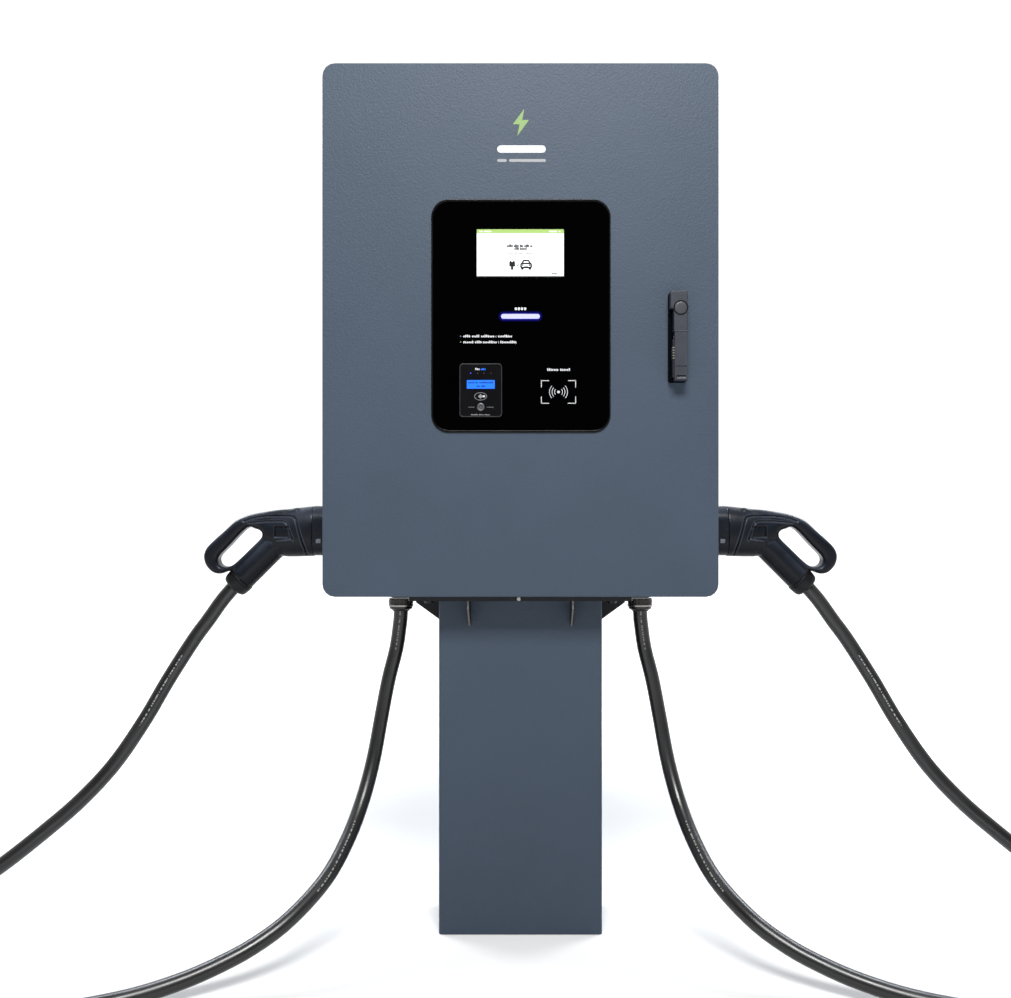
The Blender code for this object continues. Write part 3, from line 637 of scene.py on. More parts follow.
def make_stage():
    bpy.ops.mesh.primitive_circle_add(vertices=96, radius=30.0, fill_type="NGON", location=(0, 0, -0.0006))
    floor = bpy.context.object
    floor.name = "floor"
    floor.data.materials.append(floor_material())
    make_backdrop()
    make_world()
    bpy.context.scene.view_settings.view_transform = "Standard"
    add_area("key", (0.10, -2.7, 3.3), (0.0, 0.0, 1.0), (1.5, 0.9), 208.0)
    for side, sign in SIDES.items():
        add_area(f"rim_{side}", (sign * 1.9, 1.3, 2.6), (sign * 0.4, 0.0, 0.8), (1.0, 1.0), 60.0, COOL_LIGHT)


def make_backdrop():
    """A white dome all round that is only seen: light and reflections pass through it to the world."""
    bpy.ops.mesh.primitive_uv_sphere_add(segments=48, ring_count=24, radius=28.0)
    dome = bpy.context.object
    dome.name = "backdrop"
    material, _, shader = new_material("backdrop", (0.0, 0.0, 0.0), 1.0)
    feed(shader, {"Emission Color": WHITE, "Emission Strength": BACKGROUND_LEVEL})
    material.cycles.emission_sampling = "NONE"
    dome.data.materials.append(material)
    for kind in ("diffuse", "glossy", "transmission", "shadow"):
        setattr(dome, f"visible_{kind}", False)


def make_world():
    """White behind the post and dimmer in front of it, so dark glossy pieces keep their contrast."""
    world = bpy.data.worlds.new("world")
    world.use_nodes = True
    tree = world.node_tree
    place = add_node(tree, "TexCoord", {}).outputs["Generated"]
    behind = add_node(tree, "SeparateXYZ", {"Vector": place}).outputs["Y"]
    limits = {"Value": behind, "From Min": -0.55, "From Max": 0.5, "To Min": 0.20, "To Max": BACKGROUND_LEVEL}
    level = add_node(tree, "MapRange", limits, interpolation_type="SMOOTHSTEP")
    feed(tree.nodes["Background"], {"Color": WHITE, "Strength": level.outputs["Result"]})
    bpy.context.scene.world = world


# Cables

GLAND_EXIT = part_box("gland_nut_right")[0].z
DROP_ROUTE = [
    (0.226, 0.0, 0.5849), (0.229, 0.0, 0.550), (0.235, 0.0, 0.510), (0.249, -0.005, 0.453),
    (0.262, -0.016, 0.380), (0.274, -0.032, 0.308), (0.289, -0.064, 0.243), (0.308, -0.118, 0.187),
    (0.336, -0.182, 0.138), (0.384, -0.246, 0.095), (0.434, -0.283, 0.066), (0.485, -0.310, 0.046),
    (0.540, -0.334, 0.030), (0.610, -0.362, 0.018), (0.700, -0.396, 0.0139), (0.800, -0.430, 0.0139),
    (0.900, -0.455, 0.0139), (1.000, -0.4665, 0.0139),
]
RISE_ROUTE = [
    (1.035, -0.150, 0.0750), (0.975, -0.144, 0.1080), (0.915, -0.134, 0.1480), (0.846, -0.118, 0.2030),
    (0.790, -0.099, 0.2530), (0.738, -0.077, 0.3130), (0.692, -0.054, 0.387), (0.656, -0.032, 0.457),
    (0.613, -0.016, 0.530), (0.5875, -0.011, 0.566), (0.5640, -0.004, 0.6015), (0.5431, 0.0, 0.6268),
]
COIL_CENTRE = (1.10, -0.305)
COIL_INNER = 0.149 - CABLE_RADIUS
COIL_OUTER = 0.149 + CABLE_RADIUS
COIL_LAYERS = (CABLE_RADIUS + 0.0004, 3 * CABLE_RADIUS + 0.0006)
STEPS_A_TURN = 24
GRIP_INSIDE = (0.526, 0.0, 0.6442)
GRIP_TOP = (0.4805, 0.0, 0.6906)
BARREL_INSIDE = (0.4300, 0.0, 0.7290)


def ease(value):
    value = min(max(value, 0.0), 1.0)
    return value * value * (3 - 2 * value)


def coil_points():
    """Three and a half turns: low outer, low inner, high inner, then high outer, leaving at the back."""
    points = []
    for step in range(1, STEPS_A_TURN * 7 // 2):
        turn = step / STEPS_A_TURN
        inward = ease((turn - 0.76) / 0.22)
        upward = ease((turn - 1.64) / 0.22)
        outward = ease((turn - 2.52) / 0.22)
        radius = COIL_OUTER + (COIL_INNER - COIL_OUTER) * (inward - outward)
        height = COIL_LAYERS[0] + (COIL_LAYERS[1] - COIL_LAYERS[0]) * upward
        angle = 2 * math.pi * turn - math.pi / 2
        across = COIL_CENTRE[0] + radius * math.cos(angle)
        points.append((across, COIL_CENTRE[1] + radius * math.sin(angle), height))
    return points


def between(before, start, end, after, steps):
    """Points on a smooth curve from start to end, which the points before and after them bend."""
    points = []
    for step in range(steps):
        t = step / steps
        straight = 2 * start + (end - before) * t
        bent = (2 * before - 5 * start + 4 * end - after) * t * t
        turned = (3 * start - before - 3 * end + after) * t * t * t
        points.append(0.5 * (straight + bent + turned))
    return points


def smooth_route(points, spacing):
    """Evenly spaced points along a smooth curve through the route's own points."""
    places = [Vector(point) for point in points]
    ends = [2 * places[0] - places[1], *places, 2 * places[-1] - places[-2]]
    fine = []
    for four in zip(ends, ends[1:], ends[2:], ends[3:]):
        fine += between(*four, 12)
    fine.append(places[-1])
    run = [0.0]
    for start, end in zip(fine, fine[1:]):
        run.append(run[-1] + (end - start).length)
    count = round(run[-1] / spacing)
    even = []
    index = 0
    for step in range(count + 1):
        target = run[-1] * step / count
        while index < len(run) - 2 and run[index + 1] < target:
            index += 1
        share = (target - run[index]) / (run[index + 1] - run[index])
        even.append(fine[index].lerp(fine[index + 1], share))
    return even


def mark_print(mesh, points):
    """Stores on each point of a cable how far along it is, and 1 plus its angle round from the front."""
    run = 0.0
    values = []
    for index, (point, tangent) in enumerate(zip(points, directions(points))):
        if index:
            run += (point - points[index - 1]).length
        front = (Vector((0, -1, 0)) + tangent * tangent.y).normalized()
        across = tangent.cross(front)
        for step in range(CABLE_SIDES):
            normal = mesh.vertices[index * CABLE_SIDES + step].co - point
            values.extend((run, 1.0 + math.atan2(normal.dot(across), normal.dot(front)), point.z))
    mesh.attributes.new("print", "FLOAT_VECTOR", "POINT").data.foreach_set("vector", values)


def add_tie(side, sign):
    """A hook-and-loop strap round the coil's four runs at its outer end, with its tail lying over itself."""
    x, y = COIL_CENTRE[0] + (COIL_INNER + COIL_OUTER) / 2, COIL_CENTRE[1]
    half = CABLE_RADIUS * 2 + 0.0003
    middle = COIL_LAYERS[0] + CABLE_RADIUS
    outer = rounded((x, middle + 0.0009), 2 * half + 0.0030, 2 * half + 0.0019, CABLE_RADIUS + 0.001, 10)
    inner = rounded((x, middle + 0.0003), 2 * half, 2 * half - 0.0001, CABLE_RADIUS, 10)
    strap = prism_mesh([outer, inner], "XZ", y - 0.0080, y + 0.0080)
    top = middle + half + 0.0013
    tail = prism_mesh([rounded((x + 0.003, y), 0.034, 0.0156, 0.0050)], "XY", top, top + 0.0013, 0.0004)
    mesh = on_side_mesh(joined([strap, tail]), sign)
    return add_piece(f"cable_tie_{side}", mesh, STRAP, "root")


def make_cable(side):
    """One cable: gland, ground, coil, ground, plug. It runs on through the plug's grip into its barrel."""
    sign = SIDES[side]
    start = DROP_ROUTE[0]
    lead_in = (start[0], 0.0, start[2] - 0.008)
    inside_plug = (GRIP_INSIDE, GRIP_TOP, BARREL_INSIDE)
    route = [start, lead_in, *DROP_ROUTE[1:], *coil_points(), *RISE_ROUTE, *inside_plug]
    points = smooth_route([(sign * x, y, z) for x, y, z in route], 0.018)
    mesh = tube_mesh(points, CABLE_RADIUS, CABLE_SIDES)
    mark_print(mesh, points)
    cable = bpy.data.objects.new(f"cable_{side}", mesh)
    bpy.context.scene.collection.objects.link(cable)
    mesh.materials.append(CABLE)
    shade(mesh, 60)
    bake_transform(cable)
    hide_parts(f"cable_drop_{side}", f"cable_coil_{side}", f"cable_rise_{side}")
    add_tie(side, sign)


def refine(node, material, edge=0.0006, steps=2, pick=None):
    """A finished copy of a CAD node, its sharp edges rounded, that stands for it."""
    source = frame["nodes"][node]
    form = bmesh.new()
    form.from_mesh(source.data)
    bmesh.ops.remove_doubles(form, verts=form.verts, dist=2e-6)
    bmesh.ops.dissolve_limit(form, angle_limit=math.radians(0.4), verts=form.verts, edges=form.edges)
    sharp = [line for line in form.edges if line.calc_face_angle(0) > math.radians(38)]
    if pick:
        sharp = [line for line in sharp if pick(line)]
    if sharp:
        bmesh.ops.bevel(
            form, geom=sharp, offset=edge, segments=steps, profile=0.5, affect="EDGES", clamp_overlap=True
        )
    return add_piece(f"{node}_finish", to_mesh(form), material, source["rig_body"], stands_for=node)


# Plugs. The right one's side view is in millimetres: outwards from the post's middle, and up.

GUN_OUTLINE = [
    (412, 771.0), (436, 774.3), (456, 773.4), (482, 769.6), (512, 763.4), (534, 754.0), (553, 737.5),
    (584, 709.5), (594, 695.0), (595.5, 681.0), (590, 666.5), (577.5, 655.2), (563, 653.2), (550, 658.0),
    (536, 657.0), (507, 648.0), (478, 676.0), (455, 687.0), (430, 690.0), (410, 696.0),
]
GUN_HOLE = [
    (515.5, 739.0), (499, 737.8), (488.8, 733.2), (486.2, 725.5), (491, 717.3), (508, 700.6), (526, 683.0),
    (541, 670.2), (553, 666.2), (563.5, 668.6), (568.5, 676.0), (566.5, 686.5), (549, 705.0),
]
# Each section is (place outwards, lowest point, highest point, half its depth)
GUN_SECTIONS = [
    (388.9, 685.8, 780.5, 31.0), (402, 685.4, 779.2, 31.0), (420, 684.9, 777.2, 30.6),
    (440, 684.8, 774.8, 29.2), (456, 686.8, 772.8, 26.8), (470, 692.0, 771.0, 23.6),
    (480, 699.0, 769.5, 20.6),
]
SHELL_EDGE = [
    (519.0, 752.3), (506.2, 757.1), (487.0, 761.0), (467.8, 762.5), (448.5, 763.1), (432.4, 762.8),
    (423.8, 761.0), (419.6, 756.1), (417.0, 747.5), (413.2, 733.1), (408.5, 717.0), (403.7, 701.0),
    (401.0, 688.2),
]
PANEL_EDGE = [
    (509.4, 749.1), (487.0, 751.3), (464.5, 752.9), (445.3, 752.9), (437.9, 750.3), (434.7, 745.2),
    (431.8, 736.2), (427.7, 725.0), (425.4, 717.6),
]
# The pocket's middle, and its width and height
POCKET = ((446.9, 732.1), (25.6, 20.2))
LEDGE = [(429.3, 718.0), (455.6, 714.5)]

NOSE_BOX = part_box("connector_nose_right")
NOSE_CENTRE = (NOSE_BOX[0].z + NOSE_BOX[1].z) / 2
GRIP_AXIS = Vector((1, 0, -1)).normalized()
GRIP_RADIUS = 0.0252
COLLAR_PROFILE = [
    (-0.001, 0.0238), (0.0, 0.0252), (0.0010, 0.0257), (0.0030, 0.0257), (0.0036, 0.0250), (0.0046, 0.0250),
    (0.0052, 0.0257), (0.0072, 0.0257), (0.0150, 0.0250), (0.0195, 0.0240), (0.0222, 0.0222),
    (0.0234, 0.0200), (0.0236, 0.0175), (0.0228, 0.0150),
]


def closed_spline(points, steps=5):
    """A closed smooth line through points, worked out in metres from millimetres."""
    places = [Vector((x / 1000, z / 1000)) for x, z in points]
    count = len(places)
    line = []
    for index in range(count):
        line += between(*(places[(index + k) % count] for k in (-1, 0, 1, 2)), steps)
    return [tuple(point) for point in line]


def barrel_mesh():
    """The plug's barrel, lofted through rounded sections that narrow towards the hand loop."""
    rings = []
    for out, low, high, depth in GUN_SECTIONS:
        ring = []
        for cos, sin in circle((0, 0), 1.0, 48):
            across = math.copysign(abs(cos) ** 0.85, cos) * depth / 1000
            up = math.copysign(abs(sin) ** 0.85, sin) * (high - low) / 2000 + (high + low) / 2000
            ring.append((out / 1000, across, up))
        rings.append(ring)
    return loft(rings)


def distance_to(line, x, z):
    """How far a point is from an open line, in the line's own units."""
    nearest = 1e9
    for (ax, az), (bx, bz) in zip(line, line[1:]):
        dx, dz = bx - ax, bz - az
        share = min(max(((x - ax) * dx + (z - az) * dz) / (dx * dx + dz * dz), 0.0), 1.0)
        nearest = min(nearest, math.hypot(x - ax - share * dx, z - az - share * dz))
    return nearest


def sculpt_flanks(mesh):
    """Presses the two seam lines, the raised band between them and the square pocket into both flanks."""
    (pocket_x, pocket_z), (pocket_width, pocket_height) = POCKET
    moves = []
    wear_and_highlight = [0.0] * len(mesh.vertices)
    for vertex in mesh.vertices:
        x, z = vertex.co.x * 1000, vertex.co.z * 1000
        flat = abs(vertex.normal.y)
        if flat < 0.45 or not 396 < x < 545:
            continue
        outer, inner = distance_to(SHELL_EDGE, x, z), distance_to(PANEL_EDGE, x, z)
        depth = 2.6 * ease(1 - outer / 2.3) + 2.2 * ease(1 - inner / 2.1)
        edge = max(abs(x - pocket_x) - pocket_width / 2, abs(z - pocket_z) - pocket_height / 2)
        depth += 3.2 * ease(0.5 - edge / 1.8)
        ledge = distance_to(LEDGE, x, z)
        depth -= 1.8 * ease(1 - ledge / 2.4)
        along_ledge = ease((462 - x) / 30)
        # A lighter colour along the seams, the pocket's edge and the ledge: edge wear, and a painted
        # highlight where the ridges would catch the light.
        wear_and_highlight[vertex.index] = max(
            0.85 * ease(1 - abs(outer - 2.8) / 1.6),
            0.70 * ease(1 - abs(inner - 2.6) / 1.4),
            3.0 * along_ledge * ease(1 - ledge / 1.5),
            0.30 * ease(1 - abs(edge - 1.6) / 1.2),
        )
        if depth:
            moves.append((vertex.index, -vertex.normal * depth / 1000))
    for index, move in moves:
        mesh.vertices[index].co += move
    mesh.attributes.new("wear_and_highlight", "FLOAT", "POINT").data.foreach_set("value", wear_and_highlight)


def make_plugs():
    """Both plugs' pieces, by side. The body and its rubber cap are made once and mirrored."""
    plate = prism_mesh([closed_spline(GUN_OUTLINE), closed_spline(GUN_HOLE)], "XZ", -0.0195, 0.0195, 0.0085)
    root = Vector((0.4555, 0, 0.7156))
    seam = Vector(GRIP_INSIDE)
    length = (seam - root).length
    radius = GRIP_RADIUS
    grip_profile = [(0, radius * 0.9), (0.012, radius), (length - 0.002, radius), (length, radius - 0.001)]
    grip = lathe_mesh(grip_profile, root, GRIP_AXIS)
    body = fused([plate, barrel_mesh(), grip], 0.0014, 7)
    sculpt_flanks(body)
    collar = lathe_mesh(COLLAR_PROFILE, seam, GRIP_AXIS, 48)
    ring_outline = ellipse((0, NOSE_CENTRE), 0.0308, 0.0470, 72)
    tab_outline = rounded((0.3765, 0.7155), 0.0095, 0.0080, 0.0015)
    plugs = {}
    for side, sign in SIDES.items():
        ring = prism_mesh([ring_outline], "YZ", 0.3800, 0.3886, 0.0008)
        tab = prism_mesh([tab_outline], "XZ", -0.0332, -0.0290, 0.0008)
        plugs[side] = [
            add_plug_piece("shell", side, body.copy(), GUN, 50, f"connector_body_{side}"),
            add_plug_piece("cap", side, collar.copy(), COLLAR, 30, f"connector_collar_{side}"),
            refine(f"connector_nose_{side}", NOSE, 0.0012, 3),
            add_plug_piece("ring", side, ring, NOSE),
            add_plug_piece("latch", side, tab, LATCH),
            add_contacts(side, sign),
        ]
    return plugs


def add_plug_piece(name, side, mesh, material, angle=32, node=None):
    mesh = on_side_mesh(mesh, SIDES[side])
    return add_piece(f"connector_{name}_{side}", mesh, material, f"gun_{side}", angle, node)


def add_contacts(side, sign):
    """The contacts in the nose's end: a round group above and two large ones below."""
    end = NOSE_BOX[0].x
    upper, lower = NOSE_CENTRE + 0.0165, NOSE_CENTRE - 0.0245
    sockets = [(place, 0.0030) for place in [(0.0, upper), *circle((0.0, upper), 0.0105, 6)]]
    sockets += [((across, lower), 0.0062) for across in (-0.0125, 0.0125)]
    collars = []
    for (across, up), radius in sockets:
        profile = [
            (0.0, radius), (0.0030, radius), (0.0034, radius * 0.9), (0.0034, radius * 0.62),
            (0.0008, radius * 0.6),
        ]
        collars.append(lathe_mesh(profile, (end + 0.0004, across, up), (-1, 0, 0), 20))
    mesh = on_side_mesh(joined(collars), sign)
    return add_piece(f"connector_contacts_{side}", mesh, ZINC, f"gun_{side}")


# Front graphics

# Heights of the small blocks in a line, over and over, as shares of the line's own
BLOCK_HEIGHTS = (1.38, 1.0, 1.0, 1.38, 1.0, 1.0, 1.2)

# Lines of words, each word from a start to an end in metres
SCREEN_TITLE = [(0, 0.0105), (0.0118, 0.0210), (0.0223, 0.0290), (0.0303, 0.0395), (0.0408, 0.0449)]
SCREEN_SUBTITLE = [(0, 0.0085), (0.0097, 0.0220)]
SCREEN_NOTE = [(0, 0.0110), (0.0125, 0.0180), (0.0195, 0.0300), (0.0315, 0.0460)]
GUIDE_LINES = (
    (1.0766, 1.0812, [(0, 0.0127), (0.0151, 0.0286), (0.0310, 0.0548), (0.0568, 0.0580), (0.0608, 0.0858)]),
    (1.0663, 1.0709, [(0, 0.0183), (0.0203, 0.0326), (0.0342, 0.0592), (0.0612, 0.0624), (0.0648, 0.0938)]),
)


def words(left, low, high, spans, front, weight=1.0):
    """Small blocks that stand for words: spans are (start, end) offsets from left, in metres."""
    rise = (high - low) * 0.72 * weight
    pitch = (high - low) * 0.62
    blocks = []
    for start, end in spans:
        count = max(1, round((end - start) / pitch))
        width = (end - start) / count
        for index in range(count):
            a = left + start + index * width
            top = low + rise * BLOCK_HEIGHTS[(index * 3 + count) % len(BLOCK_HEIGHTS)]
            blocks.append(bar(a, a + width * min(0.80 * weight, 0.88), low, top))
    return [flat_print(blocks, front)]


def add_print(name, meshes, material, body="door"):
    return add_piece(name, joined(meshes), material, body)


def flat_print(outlines, front):
    """One printed shape, 0.15 mm proud of the surface at front."""
    return prism_mesh(outlines, "XZ", front - 0.00015, front + 0.0001)


def flat_prints(outlines, front):
    """Printed shapes that may overlap, each on its own."""
    return [flat_print([outline], front) for outline in outlines]


def make_emblem():
    """A plain bolt over two bars, in place of any mark."""
    front = DOOR_LOW.y
    bolt = [
        (0.0065, 1.4770), (-0.0135, 1.4505), (-0.0015, 1.4505), (-0.0055, 1.4300), (0.0150, 1.4580),
        (0.0030, 1.4580),
    ]
    wide = bar(-0.041, 0.0445, 1.4005, 1.4135)
    lines = [bar(-0.041, -0.024, 1.3845, 1.3895), bar(-0.020, 0.0445, 1.3845, 1.3895)]
    add_print("emblem_bolt", flat_prints([bolt], front), GREEN_INK)
    add_print("emblem_bar", flat_prints([wide], front), WHITE_INK)
    add_print("emblem_line", flat_prints(lines, front), PALE_INK)


def make_screen_print():
    """A generic page: a header, lines of text, a plug and a car."""
    front = SCREEN_LOW.y
    left, right = SCREEN_LOW.x, SCREEN_HIGH.x
    top, bottom = SCREEN_HIGH.z, SCREEN_LOW.z
    sill = rounded(((left + right) / 2, bottom + 0.0009), right - left + 0.0006, 0.0022, 0.0002, 1)
    jamb = rounded((left + 0.0006, (bottom + top) / 2), 0.0018, top - bottom + 0.0006, 0.0002, 1)
    add_print("screen_edge", [flat_print([sill], front), flat_print([jamb], front - 0.00003)], GLASS)
    header = [(left, top - 0.0068), (right, top - 0.0068), (right, top), (left, top)]
    add_print("screen_header", flat_prints([header], front), GREEN_LIGHT)
    spans = (
        (left + 0.006, left + 0.012), (left + 0.014, left + 0.027), (right - 0.026, right - 0.012),
        (right - 0.009, right - 0.006),
    )
    marks = [bar(a, b, top - 0.0046, top - 0.0028) for a, b in spans]
    add_print("screen_status", flat_prints(marks, front - 0.00012), SCREEN)
    dark = words(-0.0237, 1.2342, 1.2380, SCREEN_TITLE, front, 1.5)
    dark += words(-0.0108, 1.2297, 1.2331, SCREEN_SUBTITLE, front, 1.5)
    dark += words(0.0545, 1.1868, 1.1892, [(0, 0.009)], front, 1.45)
    dark += flat_prints(plug_picture() + car_picture(0.0099), front)
    sizes = ((0.0206, 0.0098, 0.0030), (0.0150, 0.0044, 0.0014))
    dark.append(flat_print([rounded((0.0099, 1.2025), *size) for size in sizes], front))
    add_print("screen_print", dark, SCREEN_INK)
    add_print("screen_note", words(-0.0236, 1.2226, 1.2246, SCREEN_NOTE, front, 1.3), SCREEN_GREY)


def plug_picture():
    """A plug's body, stem and two pins, and three dots that lead away from it."""
    outlines = [
        rounded((-0.0145, 1.2050), 0.0102, 0.0082, 0.0014),
        rounded((-0.0146, 1.1984), 0.0042, 0.0066, 0.0008),
    ]
    outlines += [rounded((-0.0145 + dx, 1.2092), 0.0028, 0.0030, 0.0006) for dx in (-0.0030, 0.0030)]
    return outlines + [circle((-0.0078 + 0.0025 * k, 1.2016 + 0.0012 * k), 0.0011, 12) for k in range(3)]


def car_picture(x):
    """A car's roof, wheels, lamps and bumper, seen from its front."""
    roof = [(x - 0.0068, 1.2066), (x - 0.0042, 1.2114), (x + 0.0042, 1.2114), (x + 0.0068, 1.2066)]
    outlines = [band(roof, 0.0030)]
    outlines += [rounded((x + dx, 1.1970), 0.0042, 0.0034, 0.0006) for dx in (-0.0066, 0.0066)]
    outlines += [circle((x + dx, 1.2030), 0.0013, 14) for dx in (-0.0058, 0.0058)]
    return outlines + [bar(x - 0.0036, x + 0.0036, 1.2000, 1.2012)]


def make_fascia_print():
    """The fascia's rim, its lines of generic text, and the mark where a card is held."""
    front = GLASS_FRONT
    rim_outer = rounded((0.0008, 1.1141), 0.3140, 0.4090, 0.0310, 12)
    rim_inner = rounded((0.001, 1.1145), 0.3084, 0.4014, 0.0282, 12)
    rim = prism_mesh([rim_outer, rim_inner], "XZ", front - 0.0003, DOOR_LOW.y + 0.0002, 0.0005)
    add_piece("fascia_rim", rim, RIM, "door", 40)
    white = []
    for low, high, spans in GUIDE_LINES:
        white += words(-0.1002, low, high, spans, front)
    white += words(0.0468, 1.0180, 1.0228, [(0, 0.0199), (0.0226, 0.0405)], front)
    tag = [rounded((-0.0079 + 0.0053 * step, 1.1268), 0.0040, 0.0050, 0.0016) for step in range(4)]
    white.append(flat_print(tag, front))
    add_print("fascia_text", white, WHITE_INK)
    for name, height, material in (("blue", 1.0789, BULLET_BLUE), ("green", 1.0686, BULLET_GREEN)):
        bullet = flat_print([circle((-0.1046, height), 0.0010, 16)], front)
        add_piece(f"bullet_{name}", bullet, material, "door")
    middle = (0.0666, 0.9812)
    mark = [circle(middle, 0.0024, 24)]
    for radius in (0.0070, 0.0113, 0.0158):
        mark += [band(arc(middle, radius, facing - 42, facing + 42), 0.0010) for facing in (0, 180)]
    for right, up in grid((-1, 1), (-1, 1)):
        x, z = middle[0] + right * 0.0300, middle[1] + up * 0.0198
        mark.append(band([(x - right * 0.0135, z), (x, z)], 0.0013))
        mark.append(band([(x, z + up * 0.00065), (x, z - up * 0.0120)], 0.0013))
    add_print("card_mark", flat_prints(mark, front), WHITE_INK)


def make_light():
    middle = ((LIGHT_LOW.x + LIGHT_HIGH.x) / 2, (LIGHT_LOW.z + LIGHT_HIGH.z) / 2)
    glow = flat_print([rounded(middle, 0.079, 0.0190, 0.0094)], GLASS_FRONT)
    add_piece("light_glow", glow, GLOW, "door")
    outline = rounded(middle, 0.0680, 0.0088, 0.0043)
    lens = prism_mesh([outline], "XZ", LIGHT_LOW.y - 0.0005, LIGHT_HIGH.y, 0.0004)
    add_piece("light_lens", lens, GUIDE, "door", stands_for="light_bar")


def make_reader_print():
    """The payment reader's rim, blue display, lamps, generic marks and lines."""
    front = READER_LOW.y
    centre = ((READER_LOW.x + READER_HIGH.x) / 2, (READER_LOW.z + READER_HIGH.z) / 2)
    rim = [rounded(centre, 0.0742, 0.0932, 0.0062), rounded(centre, 0.0716, 0.0906, 0.0050)]
    rim = prism_mesh(rim, "XZ", front - 0.0005, front + 0.0002, 0.0002)
    add_piece("reader_rim", rim, READER_RIM, "door", 40)
    lcd = rounded((-0.0694, 0.9943), 0.0489, 0.0151, 0.0008)
    lcd = prism_mesh([lcd], "XZ", front - 0.0002, front + 0.0002)
    add_piece("reader_display", lcd, BLUE_LIGHT, "door")
    rows = words(-0.0915, 0.9960, 0.9992, [(0, 0.011), (0.0128, 0.018), (0.0198, 0.0438)], front - 0.0002)
    rows += words(-0.0765, 0.9896, 0.9928, [(0, 0.0060), (0.0078, 0.0148)], front - 0.0002)
    add_print("reader_rows", rows, LCD_INK)
    lamps = [circle((x, 1.0137), 0.0010, 16) for x in (-0.0748, -0.0641, -0.0517)]
    lamps = prism_mesh(lamps, "XZ", front - 0.0002, front + 0.0002)
    add_piece("reader_lamps", lamps, LAMP_OFF, "door")
    lamp = prism_mesh([circle((-0.0871, 1.0137), 0.0009, 20)], "XZ", front - 0.0004, front + 0.0002)
    add_piece("reader_lamp_lit", lamp, LED_BLUE, "door")
    x, z = -0.0698, 0.9734
    waves = [band(arc((x - 0.0050, z), radius, -38, 38, 8), 0.0009) for radius in (0.0022, 0.0042, 0.0062)]
    white = words(-0.0792, 1.0192, 1.0232, [(0, 0.0085)], front)
    white += flat_prints([*waves, rounded((x + 0.0055, z), 0.0048, 0.0032, 0.0010)], front)
    add_print("reader_marks", white, WHITE_INK)
    grey = [flat_print([ellipse((x, z), 0.0110, 0.0069, 40), ellipse((x, z), 0.0103, 0.0062, 40)], front)]
    grey += words(-0.0866, 0.9403, 0.9424, [(0, 0.0125), (0.0140, 0.0225), (0.0240, 0.0332)], front)
    rules = ((-0.0915, -0.0805), (-0.0590, -0.0475))
    grey += flat_prints([bar(a, b, 0.9542, 0.9547) for a, b in rules], front)
    add_print("reader_lines", grey, PALE_INK)
    add_print("reader_tag", words(-0.0692, 1.0192, 1.0232, [(0, 0.0087)], front, 0.85), BLUE_LIGHT)


def make_reader_button():
    """A shallow metal dish with a power mark."""
    x, z = (BUTTON_LOW.x + BUTTON_HIGH.x) / 2, (BUTTON_LOW.z + BUTTON_HIGH.z) / 2
    top = BUTTON_LOW.y
    profile = [(-0.0016, 0.0066), (-0.0004, 0.0068), (0.0, 0.0064), (0.0002, 0.0058), (-0.0001, 0.0050)]
    dish = lathe_mesh(profile, (x, top, z), (0, -1, 0))
    add_piece("reader_button_cap", dish, BUTTON, "reader_button_body", 30, "reader_button")
    front = top - 0.0001
    ring = flat_print([circle((x, z - 0.0004), 0.0033), circle((x, z - 0.0004), 0.0021)], front)
    stem = flat_print([bar(x - 0.00035, x + 0.00035, z, z + 0.0032)], front)
    add_print("reader_button_mark", [ring, stem], BUTTON_INK, "reader_button_body")


# Swing handle

HANDLE_X = 0.2767
LEVER_X = 0.2772
KNOB_Z = 1.1240
LEVER_PIVOT = (-0.1700, 1.0741)
# Thin strips on the head and lever: the crown, step and slot lip are painted highlights, the line is painted
# shade, and the slot is a deep shadow.
HANDLE_TRIM = (
    # Name, centre, width, height, corner radius, front, back, edge radius, material, body
    ("crown", (0.27405, 1.1522), 0.0270, 0.0010, 0.0004, -0.1793, -0.1700, 0.0, HANDLE_HIGHLIGHT, "handle_head"),
    ("line", (LEVER_X, 1.0232), 0.0200, 0.0009, 0.0003, -0.1797, -0.1790, 0.0, HANDLE_SHADE, "lever"),
    ("step", (HANDLE_X, 1.0839), 0.0228, 0.0009, 0.0003, -0.1800, -0.1788, 0.0, HANDLE_HIGHLIGHT, "handle_head"),
    ("slot", (LEVER_X, 1.0060), 0.0160, 0.0027, 0.0006, -0.1798, -0.1785, 0.0, DEEP, "lever"),
    ("slot_lip", (0.2777, 1.0028), 0.0150, 0.0034, 0.0008, -0.1803, -0.1785, 0.0003, HANDLE_HIGHLIGHT, "lever"),
)


def add_handle_piece(name, mesh, material, body, angle=32, node=None):
    return add_piece(f"handle_{name}", mesh, material, body, angle, node)


